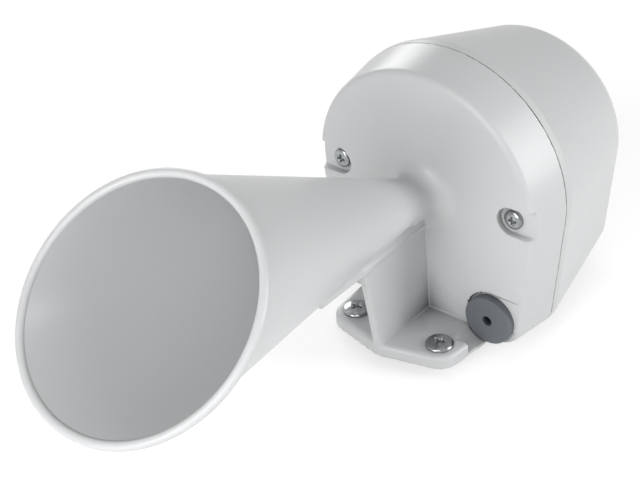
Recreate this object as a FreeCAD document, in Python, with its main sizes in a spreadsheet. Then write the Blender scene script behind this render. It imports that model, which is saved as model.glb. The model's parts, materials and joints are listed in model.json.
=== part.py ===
"""Electronic siren: a drum housing in two shells with an oblique horn, a flange and a compression driver.

The siren stands on its mounting flange. The origin lies midway between the two mounting screws, on the
underside of the flange. The horn points along -Y, +Z is up and X = 0 is the plane of symmetry.
"""
import FreeCAD, Part
import math
import os
import Sketcher

Vector = FreeCAD.Vector

# The driving dimensions, in millimetres and degrees

SIZES = [
    ("face_depth", 16.3, "front face of the housing behind the line of the mounting screws"),
    ("axis_height", 52.7, "height of the throat, the driver and the cover screws"),
    ("face_radius", 44.3, "round top of the housing at its front face"),
    ("face_corner", 8.5, "rounded lower corners of that face"),
    ("face_foot", 1.0, "its lower edge above the underside of the flange"),
    ("seam_depth", 17.6, "front shell from its face to the seam"),
    ("seam_radius", 46.9, "round top of the housing at the seam"),
    ("seam_corner", 10.2, "rounded lower corners at the seam"),
    ("seam_foot", 0.3, "underside of the seam above the underside of the flange"),
    ("side_lean", 7.4, "how far the sides lean inwards on their way down"),
    ("housing_wall", 2.6, "side walls of both shells"),
    ("front_wall", 3.0, "wall behind the front face"),
    ("edge_round", 2.0, "rounding of the front edge"),
    ("seam_break", 0.3, "small chamfer on both sides of the seam"),
    ("collar_length", 3.0, "straight collar of the rear cover next to the seam"),
    ("cover_depth", 58.1, "rear cover from the seam to its back"),
    ("rear_radius", 34.1, "round top of the rear cover at its back"),
    ("rear_axis_height", 48.3, "centre of that round top"),
    ("rear_foot", 2.6, "underside of the rear cover at its back"),
    ("rear_corner", 11.0, "rounded lower corners at the back"),
    ("rear_round", 8.0, "rounding of the rear edge"),
    ("rear_wall", 2.6, "wall at the back"),
    ("mouth_forward", 117.9, "centre of the mouth in front of the mounting screws"),
    ("mouth_height", 84.75, "centre of the mouth above the flange"),
    ("mouth_slope", 40.2, "rise of the mouth's plane from the horizontal"),
    ("mouth_radius", 40.6, "outer wall of the horn at the mouth"),
    ("horn_wall", 1.5, "wall of the horn at the mouth"),
    ("lip_radius", 1.5, "rolled edge of the mouth"),
    ("lip_proud", 1.73, "how far the rolled edge stands out from the horn"),
    ("throat_bore", 5.0, "radius of the throat"),
    ("throat_wall", 1.75, "wall of the horn at the throat"),
    ("throat_setback", 5.1, "start of the cone in front of the face"),
    ("neck_round", 7.5, "hollow rounding between the neck and the face"),
    ("neck_radius", 7.6, "neck where that rounding starts"),
    ("fin_width", 3.6, "fin along the underside of the horn"),
    ("fin_reach", 41.2, "front end of the fin's lower edge"),
    ("fin_foot", 37.9, "lower edge of the fin"),
    ("fin_rise", 1.6, "step up of that edge over the leg web"),
    ("fin_slant", 4.5, "slant of the fin's front end into the horn"),
    ("web_top_width", 2.2, "leg web at the fin"),
    ("web_foot_width", 3.4, "leg web at the flange"),
    ("web_foot_forward", 12.2, "front edge of the web at the flange"),
    ("web_top_forward", 18.7, "front edge of the web at the fin"),
    ("flange_thickness", 5.0, "mounting flange"),
    ("flange_front", 12.1, "front point of the flange"),
    ("flange_nose", 2.5, "rounding of that point"),
    ("flange_lobe", 7.63, "rounding of the flange about each screw"),
    ("flange_rear_half", 27.0, "half width of the flange at the face"),
    ("flange_rear_round", 2.0, "rear corners of the flange"),
    ("flange_edge_round", 1.6, "rounded upper edge of the flange"),
    ("mount_half_spacing", 18.0, "half the distance between the mounting screws"),
    ("mount_hole", 2.75, "radius of the holes in the flange"),
    ("mount_shank", 2.6, "radius of the mounting screws in the flange"),
    ("mount_thread", 2.45, "radius of their threads below it"),
    ("mount_reach", 3.0, "mounting screws below the flange"),
    ("mount_head", 5.0, "radius of the pan heads"),
    ("mount_head_height", 2.1, "height of the pan heads"),
    ("mount_head_round", 1.1, "rounded edge of the pan heads"),
    ("cover_inset", 8.3, "cover screws inwards from the round top's edge"),
    ("pocket_radius", 5.2, "open pocket around each cover screw"),
    ("pocket_depth", 3.0, "floor of that pocket behind the face"),
    ("boss_floor", 3.0, "material under the pocket's floor"),
    ("boss_half_height", 7.2, "half height of the block behind a pocket"),
    ("cover_head", 3.5, "radius of the cover screws' heads"),
    ("cover_head_height", 2.2, "height of those heads"),
    ("cover_head_round", 1.0, "rounded edge of those heads"),
    ("cover_shank", 1.7, "radius of the cover screws"),
    ("cover_shank_length", 14.0, "cover screws behind their heads"),
    ("screw_clearance", 0.15, "play around a screw"),
    ("post_radius", 4.0, "screw posts of the rear cover"),
    ("post_reach", 24.0, "screw posts behind the seam"),
    ("post_rib", 2.4, "rib from a post to the side wall"),
    ("recess_half_length", 2.25, "arm of the cross recess in a mounting screw"),
    ("recess_half_width", 0.55, "half width of that arm"),
    ("recess_depth", 1.1, "depth of the cross recess"),
    ("cover_recess_half_length", 1.8, "arm of the cross recess in a cover screw"),
    ("clearance", 0.3, "play between loose neighbours"),
    ("grommet_inset", 16.24, "cable grommet inwards from that edge"),
    ("grommet_height", 10.64, "cable grommet above the underside of the flange"),
    ("grommet_radius", 9.13, "disc of the grommet"),
    ("grommet_proud", 2.5, "disc of the grommet in front of the face"),
    ("grommet_edge_round", 0.6, "rounded front edge of the disc"),
    ("grommet_neck", 5.6, "neck of the grommet in the wall"),
    ("grommet_lip", 7.3, "lip of the grommet inside the wall"),
    ("grommet_lip_length", 1.8, "thickness of that lip"),
    ("cable_bore", 1.8, "radius of the cable hole"),
    ("seat_gap", 0.57, "seat of the grommet around its disc"),
    ("seat_depth", 0.6, "depth of that seat"),
    ("seat_drop", 6.0, "seat below the grommet's centre, down to its round end"),
    ("relief_front", 6.0, "front end of the hollow for the disc in the flange"),
    ("groove_inset", 0.8, "seal groove from the outer wall"),
    ("groove_width", 1.2, "seal groove in the front shell's rim"),
    ("groove_depth", 1.4, "depth of that groove"),
    ("seal_play", 0.05, "play beside the seal"),
    ("driver_gasket_outer", 22.0, "driver gasket"),
    ("driver_gasket_inner", 18.5, "hole of the driver gasket"),
    ("driver_gasket_thickness", 1.0, "thickness of the driver gasket"),
    ("driver_screw_offset", 18.7, "driver screws from the axis, sideways and up"),
    ("driver_screw_radius", 1.4, "radius of the driver screws"),
    ("driver_screw_bite", 2.4, "driver screws in the front wall"),
    ("driver_head", 2.7, "radius of the driver screws' heads"),
    ("driver_head_height", 1.8, "height of those heads"),
    ("frame_corner", 4.0, "corners of the driver frame"),
    ("frame_plate", 3.0, "square plate of the driver frame"),
    ("frame_cup_radius", 21.5, "round cup of the driver frame"),
    ("frame_cup_depth", 5.5, "driver frame from front to back"),
    ("frame_bore", 17.5, "inside of the cup"),
    ("frame_step", 16.0, "hole of the step that carries the phase plug"),
    ("frame_step_width", 1.0, "thickness of that step"),
    ("plug_thickness", 1.0, "disc of the phase plug"),
    ("plug_root", 3.4, "cone of the phase plug at its disc"),
    ("plug_tip", 0.9, "tip of that cone"),
    ("plug_length", 6.0, "length of that cone"),
    ("plug_hole", 2.3, "radius of the sound holes in the phase plug"),
    ("plug_hole_circle", 7.5, "circle of those holes"),
    ("film", 0.4, "thickness of the diaphragm"),
    ("diaphragm_rim", 20.5, "outer edge of the diaphragm"),
    ("diaphragm_roll", 17.2, "outer edge of its flexible roll"),
    ("roll_radius", 2.1, "radius of that roll"),
    ("dome_radius", 22.0, "radius of the dome"),
    ("coil_radius", 12.75, "inside of the voice coil"),
    ("coil_thickness", 0.5, "thickness of the voice coil"),
    ("coil_length", 7.0, "length of the voice coil"),
    ("air_gap", 0.35, "air on both sides of the voice coil"),
    ("plate_radius", 21.5, "top plate and back plate of the magnet"),
    ("plate_thickness", 4.0, "thickness of both plates"),
    ("magnet_radius", 22.5, "magnet ring"),
    ("magnet_bore", 15.5, "hole of the magnet ring"),
    ("magnet_thickness", 10.0, "thickness of the magnet ring"),
    ("tag_side", 9.0, "solder tags from the middle"),
    ("tag_width", 3.0, "width of a solder tag"),
    ("tag_length", 6.4, "length of a solder tag"),
    ("tag_thickness", 0.6, "thickness of a solder tag"),
    ("board_gap", 28.1, "front of the circuit board behind the seam"),
    ("board_half_width", 23.0, "half width of the circuit board"),
    ("board_half_height", 22.0, "half height of the circuit board"),
    ("board_height", 50.0, "centre of the circuit board"),
    ("board_thickness", 1.6, "thickness of the circuit board"),
    ("board_inset", 4.0, "board screws from the edges of the board"),
    ("board_post", 3.0, "radius of the posts that carry the board"),
    ("board_screw", 1.3, "radius of the board screws"),
    ("board_screw_bite", 7.0, "board screws in their posts"),
    ("board_head", 2.5, "radius of the board screws' heads"),
    ("board_head_height", 1.6, "height of those heads"),
    ("terminal_half_width", 8.0, "half width of the terminal block"),
    ("terminal_height", 8.0, "terminal block along the board"),
    ("terminal_depth", 10.0, "terminal block out of the board"),
    ("terminal_drop", 17.4, "terminal block below the centre of the board"),
    ("terminal_screw", 1.6, "radius of the terminal screws"),
    ("terminal_screw_half_spacing", 4.0, "half the distance between the terminal screws"),
    ("terminal_screw_length", 6.0, "length of the terminal screws"),
    ("terminal_screw_sunk", 0.6, "terminal screws below the block's face"),
    ("wire_way", 1.4, "radius of the wire entries"),
    ("capacitor_radius", 5.0, "supply capacitor"),
    ("capacitor_length", 12.5, "supply capacitor out of the board"),
    ("capacitor_side", 14.0, "supply capacitor from the middle"),
    ("capacitor_rise", 12.0, "supply capacitor above the board's centre"),
    ("small_can_radius", 2.6, "signal capacitors"),
    ("small_can_length", 7.0, "signal capacitors out of the board"),
    ("small_can_side", 2.0, "first signal capacitor from the middle"),
    ("small_can_pitch", 7.0, "distance between the signal capacitors"),
    ("small_can_rise", 15.0, "signal capacitors above the board's centre"),
    ("chip_half_width", 4.8, "half width of the tone chip"),
    ("chip_half_height", 3.2, "half height of the tone chip"),
    ("chip_depth", 3.4, "thickness of the tone chip"),
    ("chip_stand", 0.5, "tone chip above the board"),
    ("chip_rise", 4.5, "tone chip above the board's centre"),
    ("pin_width", 0.6, "legs of chips and transistors"),
    ("pin_pitch", 2.54, "distance between legs"),
    ("sink_side", 20.0, "heat sink from the middle"),
    ("sink_thickness", 1.6, "heat sink plate"),
    ("sink_half_height", 13.0, "half height of the heat sink"),
    ("sink_depth", 13.0, "heat sink out of the board"),
    ("sink_drop", 0.0, "heat sink below the board's centre"),
    ("power_depth", 9.0, "body of a power transistor along the sink"),
    ("power_half_height", 4.8, "half width of a power transistor"),
    ("power_thickness", 4.2, "thickness of a power transistor"),
    ("power_stand", 3.0, "legs between the board and a power transistor"),
    ("power_half_pitch", 6.4, "half the distance between the power transistors"),
    ("resistor_radius", 1.1, "resistors"),
    ("resistor_length", 6.3, "body of a resistor"),
    ("resistor_side", 6.0, "resistors left of the middle"),
    ("resistor_pitch", 4.0, "distance between resistors"),
    ("resistor_drop", 3.0, "first resistor below the board's centre"),
    ("resistor_lead", 0.35, "leads of resistors and the diode"),
    ("resistor_lead_length", 1.6, "lead beyond each end of a resistor"),
    ("diode_radius", 1.5, "supply diode"),
    ("diode_length", 8.0, "body of the supply diode"),
    ("diode_side", 8.0, "supply diode right of the middle"),
    ("diode_drop", 7.0, "supply diode below the board's centre"),
    ("lead_radius", 0.7, "insulated leads between driver and board"),
    ("lead_start", 1.6, "start of a lead above the foot of its tag"),
    ("lead_clear", 4.5, "leads below the magnet"),
    ("lead_dip", 3.0, "deepest bend of the leads below that"),
    ("lead_end_side", 14.0, "leads at the board from the middle"),
    ("lead_end_drop", 17.5, "leads at the board below its centre"),
]


class Size:
    """A length with the sheet expression that gives it, so that geometry and binding come from one formula."""

    def __init__(self, value, text):
        self.value = value
        self.text = text

    def joined(self, other, sign, value):
        return Size(value, "(%s %s %s)" % (self.text, sign, as_size(other).text))

    def __add__(self, other):
        return self.joined(other, "+", self.value + as_size(other).value)

    def __sub__(self, other):
        return self.joined(other, "-", self.value - as_size(other).value)

    def __mul__(self, other):
        return self.joined(other, "*", self.value * as_size(other).value)

    def __truediv__(self, other):
        return self.joined(other, "/", self.value / as_size(other).value)

    def __rsub__(self, other):
        return as_size(other) - self

    def __neg__(self):
        return Size(-self.value, "(-1 * %s)" % self.text)


def as_size(amount):
    """A plain number counts as a size too."""
    if isinstance(amount, Size):
        return amount
    return Size(float(amount), "%g" % amount)


def sine(angle):
    return Size(math.sin(math.radians(angle.value)), "sin(%s)" % angle.text)


def cosine(angle):
    return Size(math.cos(math.radians(angle.value)), "cos(%s)" % angle.text)


def root(amount):
    return Size(math.sqrt(amount.value), "sqrt(%s)" % amount.text)


class Sheet:
    """The spreadsheet of driving dimensions, each one readable as an attribute."""

    def __init__(self, document):
        table = document.addObject("Spreadsheet::Sheet", "Sizes")
        for line, (name, value, note) in enumerate(SIZES, 1):
            table.set("A%d" % line, name)
            table.set("B%d" % line, "%g" % value)
            table.setAlias("B%d" % line, name)
            table.set("C%d" % line, note)
            setattr(self, name, Size(float(value), "Sizes." + name))


doc = FreeCAD.newDocument("ElectronicSiren")
s = Sheet(doc)
doc.recompute()


# Sketch helpers

def bind(thing, path, amount):
    """Tie a property to the sheet."""
    thing.setExpression(path, as_size(amount).text)


def new_body(name):
    """A body for one piece, which may hold several equal solids."""
    body = doc.addObject("PartDesign::Body", name)
    body.Label = name
    body.AllowCompound = True
    return body


def sketch_on(body, name, role, offset=(0, 0, 0), slope=None):
    """A sketch on one of the body's own planes, moved by offset and turned about its first direction."""
    sketch = body.newObject("Sketcher::SketchObject", name)
    plane = next(item for item in body.Origin.OriginFeatures if item.Role == role)
    sketch.AttachmentSupport = [(plane, "")]
    sketch.MapMode = "FlatFace"
    if slope is not None:
        axis, angle = slope
        sketch.AttachmentOffset = FreeCAD.Placement(Vector(0, 0, 0), FreeCAD.Rotation(axis, angle.value))
        bind(sketch, ".AttachmentOffset.Rotation.Angle", angle)
    for letter, amount in zip("xyz", offset):
        if as_size(amount).text != "0":
            bind(sketch, ".AttachmentOffset.Base." + letter, amount)
    return sketch


def front_sketch(body, name, depth, side=0, height=0):
    """A sketch seen from the front, at a depth behind the origin: X to the right and Z up."""
    return sketch_on(body, name, "XZ_Plane", (side, height, -as_size(depth)))


def side_sketch(body, name, height=0, side=0, depth=0):
    """A sketch seen from the side: Y to the right and Z up."""
    return sketch_on(body, name, "YZ_Plane", (depth, height, side))


def flat_sketch(body, name, height, side=0, depth=0):
    """A sketch seen from above: X to the right and Y up."""
    return sketch_on(body, name, "XY_Plane", (side, depth, height))


def pin(sketch, piece, end, x, y):
    """Hold one point of a sketch at (x, y)."""
    for direction, axis, amount in (("DistanceX", -2, as_size(x)), ("DistanceY", -1, as_size(y))):
        if amount.text == "0":
            sketch.addConstraint(Sketcher.Constraint("PointOnObject", piece, end, axis))
        else:
            number = sketch.addConstraint(Sketcher.Constraint(direction, -1, 1, piece, end, amount.value))
            bind(sketch, "Constraints[%d]" % number, amount)


def fix_radius(sketch, piece, radius):
    radius = as_size(radius)
    number = sketch.addConstraint(Sketcher.Constraint("Radius", piece, radius.value))
    bind(sketch, "Constraints[%d]" % number, radius)


def circle(sketch, x, y, radius):
    """A circle with its centre and radius held."""
    x = as_size(x)
    y = as_size(y)
    radius = as_size(radius)
    drawn = Part.Circle(Vector(x.value, y.value, 0), Vector(0, 0, 1), radius.value)
    piece = sketch.addGeometry(drawn, False)
    pin(sketch, piece, 3, x, y)
    fix_radius(sketch, piece, radius)


def arc_between(start, end, radius):
    """The short arc from start to end that turns left for a positive radius and right for a negative one."""
    chord = end - start
    half = chord.Length / 2
    side = Vector(-chord.y, chord.x, 0).normalize()
    reach = math.sqrt(max(radius * radius - half * half, 0))
    centre = start + chord * 0.5 + side * math.copysign(reach, radius)
    first, last = (start, end) if radius > 0 else (end, start)
    low = math.atan2(first.y - centre.y, first.x - centre.x)
    high = math.atan2(last.y - centre.y, last.x - centre.x)
    if high < low:
        high += 2 * math.pi
    return Part.ArcOfCircle(Part.Circle(centre, Vector(0, 0, 1), abs(radius)), low, high)


def outline(sketch, corners):
    """A closed outline through the corners. A third value is the radius of the arc that starts there."""
    corners = [tuple(as_size(value) for value in corner) for corner in corners]
    points = [Vector(corner[0].value, corner[1].value, 0) for corner in corners]
    pieces = []
    for number, corner in enumerate(corners):
        start = points[number]
        end = points[(number + 1) % len(points)]
        if len(corner) == 3:
            backwards = corner[2].value < 0
            piece = sketch.addGeometry(arc_between(start, end, corner[2].value), False)
            pieces.append((piece, 2, 1) if backwards else (piece, 1, 2))
        else:
            pieces.append((sketch.addGeometry(Part.LineSegment(start, end), False), 1, 2))
    for number, (piece, first, last) in enumerate(pieces):
        following, following_first, _ = pieces[(number + 1) % len(pieces)]
        sketch.addConstraint(Sketcher.Constraint("Coincident", piece, last, following, following_first))
    for corner, (piece, first, last) in zip(corners, pieces):
        pin(sketch, piece, first, corner[0], corner[1])
        if len(corner) == 3:
            fix_radius(sketch, piece, corner[2] if corner[2].value > 0 else -corner[2])


def belt(sketch, wheels):
    """The outline of a belt around wheels (x, y, radius), which are given against the clock."""
    wheels = [tuple(as_size(value) for value in wheel) for wheel in wheels]
    runs = []
    for number, wheel in enumerate(wheels):
        following = wheels[(number + 1) % len(wheels)]
        start = Vector(wheel[0].value, wheel[1].value, 0)
        end = Vector(following[0].value, following[1].value, 0)
        way = end - start
        along = Vector(way).normalize()
        outward = Vector(along.y, -along.x, 0)
        share = (wheel[2].value - following[2].value) / way.Length
        normal = outward * math.sqrt(1 - share * share) + along * share
        runs.append((start + normal * wheel[2].value, end + normal * following[2].value))
    pieces = []
    for number, wheel in enumerate(wheels):
        centre = Vector(wheel[0].value, wheel[1].value, 0)
        arrival = runs[number - 1][1] - centre
        leaving = runs[number][0] - centre
        low = math.atan2(arrival.y, arrival.x)
        high = math.atan2(leaving.y, leaving.x)
        if high < low:
            high += 2 * math.pi
        arc = Part.ArcOfCircle(Part.Circle(centre, Vector(0, 0, 1), wheel[2].value), low, high)
        pieces.append(sketch.addGeometry(arc, False))
        pieces.append(sketch.addGeometry(Part.LineSegment(*runs[number]), False))
    for number, piece in enumerate(pieces):
        following = pieces[(number + 1) % len(pieces)]
        sketch.addConstraint(Sketcher.Constraint("Tangent", piece, 2, following, 1))
    for wheel, piece in zip(wheels, pieces[::2]):
        pin(sketch, piece, 3, wheel[0], wheel[1])
        fix_radius(sketch, piece, wheel[2])


def box_outline(sketch, left, low, right, high):
    outline(sketch, [(left, low), (right, low), (right, high), (left, high)])


def cross_outline(sketch, half_length, half_width):
    """A cross recess about the sketch's origin."""
    arm = half_length
    web = half_width
    outline(sketch, [
        (arm, -web), (arm, web), (web, web), (web, arm), (-web, arm), (-web, web),
        (-arm, web), (-arm, -web), (-web, -web), (-web, -arm), (web, -arm), (web, -web),
    ])


# Feature helpers

def pad(body, name, sketch, length, backwards=False, both_ways=False):
    feature = body.newObject("PartDesign::Pad", name)
    feature.Profile = sketch
    feature.Reversed = backwards
    feature.Midplane = both_ways
    bind(feature, "Length", length)
    return feature


def pocket(body, name, sketch, length, backwards=False):
    feature = body.newObject("PartDesign::Pocket", name)
    feature.Profile = sketch
    feature.Reversed = backwards
    bind(feature, "Length", length)
    return feature


def loft(body, kind, name, first, last):
    """A ruled loft, from the sketch at the back to the one that its normal points to."""
    feature = body.newObject("PartDesign::" + kind, name)
    feature.Profile = first
    feature.Sections = [(last, [""])]
    feature.Ruled = True
    return feature


def turn(body, kind, name, sketch, axis):
    feature = body.newObject("PartDesign::" + kind, name)
    feature.Profile = sketch
    feature.ReferenceAxis = (sketch, [axis])
    feature.Angle = 360
    return feature


def trim_edges(body, kind, name, base, wanted, path, amount):
    """Round or chamfer the edges of the base feature that answer the question."""
    doc.recompute()
    edges = base.Shape.Edges
    names = ["Edge%d" % (number + 1) for number, edge in enumerate(edges) if wanted(edge)]
    feature = body.newObject("PartDesign::" + kind, name)
    feature.Base = (base, names)
    bind(feature, path, amount)
    return feature


def in_plane(letter, place):
    """A question for trim_edges: does the edge lie in this plane?"""
    def wanted(edge):
        box = edge.BoundBox
        low = getattr(box, letter + "Min")
        high = getattr(box, letter + "Max")
        return abs(low - place.value) < 0.01 and abs(high - place.value) < 0.01
    return wanted


def turned(name, corners, height=0, side=0):
    """A piece turned about a line along Y. Its corners are (depth, radius)."""
    body = new_body(name)
    sketch = side_sketch(body, name + "_profile", height, side)
    outline(sketch, corners)
    turn(body, "Revolution", name + "_turn", sketch, "H_Axis")
    return body


# Places along the depth that several pieces share

seam = s.face_depth + s.seam_depth
collar_end = seam + s.collar_length
cover_back = seam + s.cover_depth
inner_face = s.face_depth + s.front_wall
pocket_floor = s.face_depth + s.pocket_depth
boss_back = pocket_floor + s.boss_floor
post_front = boss_back + s.clearance
post_back = seam + s.post_reach
grommet_seat = s.face_depth + s.seat_depth
grommet_front = s.face_depth - s.grommet_proud
throat_start = s.face_depth - s.throat_setback
frame_front = inner_face + s.driver_gasket_thickness
frame_back = frame_front + s.frame_cup_depth
top_plate_front = frame_back + s.film
magnet_front = top_plate_front + s.plate_thickness
magnet_back = magnet_front + s.magnet_thickness
board_front = seam + s.board_gap
board_back = board_front + s.board_thickness
web_top = s.fin_foot + s.fin_rise
cover_side = s.face_radius - s.cover_inset
grommet_side = s.face_radius - s.grommet_inset


def drum(sketch, radius, height, foot, corner, inset=0):
    """The housing's section: a round top, sides that lean in on their way down and a flat foot."""
    corner_height = foot + corner
    drop = (height - corner_height) * sine(s.side_lean)
    corner_side = (radius - corner - drop) / cosine(s.side_lean)
    belt(sketch, [
        (0, height, radius - inset),
        (-corner_side, corner_height, corner - inset),
        (corner_side, corner_height, corner - inset),
    ])


def face_drum(sketch, inset=0):
    drum(sketch, s.face_radius, s.axis_height, s.face_foot, s.face_corner, inset)


def seam_drum(sketch, inset=0):
    drum(sketch, s.seam_radius, s.axis_height, s.seam_foot, s.seam_corner, inset)


def back_drum(sketch, inset=0):
    drum(sketch, s.rear_radius, s.rear_axis_height, s.rear_foot, s.rear_corner, inset)


def driver_corners():
    """The four screw places of the driver, against the clock."""
    reach = s.driver_screw_offset
    return [(reach, -reach), (reach, reach), (-reach, reach), (-reach, -reach)]


def make_front_shell():
    """The front shell with horn, neck, fin, web and flange: one moulding."""
    body = new_body("horn_front_shell")

    # The drum, its front edge and the broken edge at the seam
    face = front_sketch(body, "face_section", s.face_depth)
    face_drum(face)
    rim = front_sketch(body, "rim_section", seam)
    seam_drum(rim)
    drum_body = loft(body, "AdditiveLoft", "drum", rim, face)
    front_edge = trim_edges(body, "Fillet", "front_edge", drum_body, in_plane("Y", s.face_depth), "Radius",
                            s.edge_round)
    trim_edges(body, "Chamfer", "seam_edge", front_edge, in_plane("Y", seam), "Size", s.seam_break)

    # The grommet's shallow seat, open to the side and downwards
    seat = front_sketch(body, "grommet_seat", s.face_depth)
    seat_radius = s.grommet_radius + s.seat_gap
    seat_low = s.grommet_height - s.seat_drop
    belt(seat, [
        (grommet_side, seat_low, seat_radius),
        (s.seam_radius, seat_low, seat_radius),
        (s.seam_radius, s.grommet_height, seat_radius),
        (grommet_side, s.grommet_height, seat_radius),
    ])
    pocket(body, "seat", seat, s.seat_depth)

    # The flange, with its free upper edge rounded
    plan = flat_sketch(body, "flange_plan", 0)
    rear_side = s.flange_rear_half - s.flange_rear_round
    belt(plan, [
        (0, s.flange_nose - s.flange_front, s.flange_nose),
        (s.mount_half_spacing, 0, s.flange_lobe),
        (rear_side, inner_face - s.flange_rear_round, s.flange_rear_round),
        (-rear_side, inner_face - s.flange_rear_round, s.flange_rear_round),
        (-s.mount_half_spacing, 0, s.flange_lobe),
    ])
    flange = pad(body, "flange", plan, s.flange_thickness)
    upper = in_plane("Z", s.flange_thickness)

    def free_upper(edge):
        return upper(edge) and edge.BoundBox.YMin < s.face_depth.value - s.flange_edge_round.value
    trim_edges(body, "Fillet", "flange_edge", flange, free_upper, "Radius", s.flange_edge_round)

    # The neck's hollow rounding, turned about the driver's axis
    neck = side_sketch(body, "neck_profile", s.axis_height)
    outline(neck, [
        (inner_face, 0),
        (inner_face, s.neck_radius + s.neck_round),
        (s.face_depth, s.neck_radius + s.neck_round, -s.neck_round),
        (s.face_depth - s.neck_round, s.neck_radius),
        (s.face_depth - s.neck_round, 0),
    ])
    turn(body, "Revolution", "neck", neck, "H_Axis")

    # The horn, ruled from the upright throat to the sloping mouth
    mouth_place = (0, -s.mouth_forward, s.mouth_height)
    mouth_slope = (Vector(1, 0, 0), s.mouth_slope)
    throat = front_sketch(body, "throat_outside", throat_start)
    circle(throat, 0, s.axis_height, s.throat_bore + s.throat_wall)
    mouth = sketch_on(body, "mouth_outside", "XY_Plane", mouth_place, mouth_slope)
    circle(mouth, 0, 0, s.mouth_radius)
    loft(body, "AdditiveLoft", "horn", throat, mouth)

    # The rolled edge of the mouth, turned about the mouth's own axis
    lip_place = (-s.mouth_forward, s.mouth_height, 0)
    lip = sketch_on(body, "lip_profile", "YZ_Plane", lip_place, (Vector(0, 0, 1), s.mouth_slope))
    circle(lip, s.mouth_radius + s.lip_proud - s.lip_radius, 0, s.lip_radius)
    turn(body, "Revolution", "lip", lip, "V_Axis")

    # The fin under the horn
    fin = side_sketch(body, "fin_profile")
    outline(fin, [
        (-s.fin_reach, s.fin_foot),
        (-s.web_top_forward, s.fin_foot),
        (-s.web_foot_forward, web_top),
        (inner_face, web_top),
        (inner_face, s.axis_height),
        (throat_start, s.axis_height),
        (-s.fin_reach - s.fin_slant, s.axis_height),
        (-s.fin_reach - s.fin_rise / 2, s.fin_foot + s.fin_rise),
    ])
    pad(body, "fin", fin, s.fin_width, both_ways=True)

    # The leg web, thinner and longer at its top
    web_low = flat_sketch(body, "web_foot", s.flange_thickness / 2)
    box_outline(web_low, -s.web_foot_width / 2, -s.web_foot_forward, s.web_foot_width / 2, inner_face)
    web_high = flat_sketch(body, "web_head", web_top)
    box_outline(web_high, -s.web_top_width / 2, -s.web_top_forward, s.web_top_width / 2, inner_face)
    loft(body, "AdditiveLoft", "leg_web", web_low, web_high)

    # The inside of the drum, of the horn and of the throat
    inner_front = front_sketch(body, "inner_front", inner_face)
    face_drum(inner_front, s.housing_wall)
    inner_rear = front_sketch(body, "inner_rear", seam)
    seam_drum(inner_rear, s.housing_wall)
    loft(body, "SubtractiveLoft", "drum_inside", inner_rear, inner_front)
    throat_in = front_sketch(body, "throat_inside", throat_start)
    circle(throat_in, 0, s.axis_height, s.throat_bore)
    mouth_in = sketch_on(body, "mouth_inside", "XY_Plane", mouth_place, mouth_slope)
    circle(mouth_in, 0, 0, s.mouth_radius - s.horn_wall)
    loft(body, "SubtractiveLoft", "horn_inside", throat_in, mouth_in)
    bore = front_sketch(body, "throat_bore", throat_start)
    circle(bore, 0, s.axis_height, s.throat_bore)
    pocket(body, "throat", bore, s.front_wall + s.throat_setback)

    # The blocks behind the screw pockets and the standoffs of the driver
    blocks = front_sketch(body, "pocket_blocks", inner_face)
    block_inner = cover_side - s.boss_half_height
    block_outer = s.face_radius - s.housing_wall / 2
    low = s.axis_height - s.boss_half_height
    high = s.axis_height + s.boss_half_height
    box_outline(blocks, block_inner, low, block_outer, high)
    box_outline(blocks, -block_outer, low, -block_inner, high)
    pad(body, "blocks", blocks, boss_back - inner_face, backwards=True)
    standoffs = front_sketch(body, "driver_standoffs", inner_face, 0, s.axis_height)
    for x, y in driver_corners():
        circle(standoffs, x, y, s.frame_corner)
    pad(body, "standoffs", standoffs, s.driver_gasket_thickness, backwards=True)
    pilots = front_sketch(body, "driver_pilots", frame_front, 0, s.axis_height)
    for x, y in driver_corners():
        circle(pilots, x, y, s.driver_screw_radius + s.screw_clearance)
    pocket(body, "pilots", pilots, s.driver_screw_bite + s.clearance, backwards=True)

    # The open pockets and the holes of the cover screws
    slots = front_sketch(body, "screw_pockets", s.face_depth)
    slot_end = s.face_radius + s.pocket_radius
    belt(slots, [
        (cover_side, s.axis_height, s.pocket_radius),
        (slot_end, s.axis_height, s.pocket_radius),
    ])
    belt(slots, [
        (-slot_end, s.axis_height, s.pocket_radius),
        (-cover_side, s.axis_height, s.pocket_radius),
    ])
    pocket(body, "pockets", slots, s.pocket_depth)
    holes = front_sketch(body, "cover_holes", pocket_floor)
    circle(holes, cover_side, s.axis_height, s.cover_shank + s.screw_clearance)
    circle(holes, -cover_side, s.axis_height, s.cover_shank + s.screw_clearance)
    pocket(body, "cover_screw_holes", holes, s.boss_floor)

    # The hollow for the grommet's disc in the flange and its hole in the wall
    relief = front_sketch(body, "grommet_relief", s.relief_front)
    circle(relief, grommet_side, s.grommet_height, seat_radius)
    pocket(body, "relief", relief, grommet_seat - s.relief_front)
    entry = front_sketch(body, "grommet_hole", grommet_seat)
    circle(entry, grommet_side, s.grommet_height, s.grommet_neck + s.screw_clearance)
    pocket(body, "entry", entry, s.front_wall)

    # The mounting holes and the groove of the seal
    mounts = flat_sketch(body, "mount_holes", s.flange_thickness)
    circle(mounts, s.mount_half_spacing, 0, s.mount_hole)
    circle(mounts, -s.mount_half_spacing, 0, s.mount_hole)
    pocket(body, "mount_screw_holes", mounts, s.flange_thickness)
    groove = front_sketch(body, "groove_section", seam)
    seam_drum(groove, s.groove_inset)
    seam_drum(groove, s.groove_inset + s.groove_width)
    pocket(body, "seal_groove", groove, s.groove_depth, backwards=True)
    return body


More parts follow.
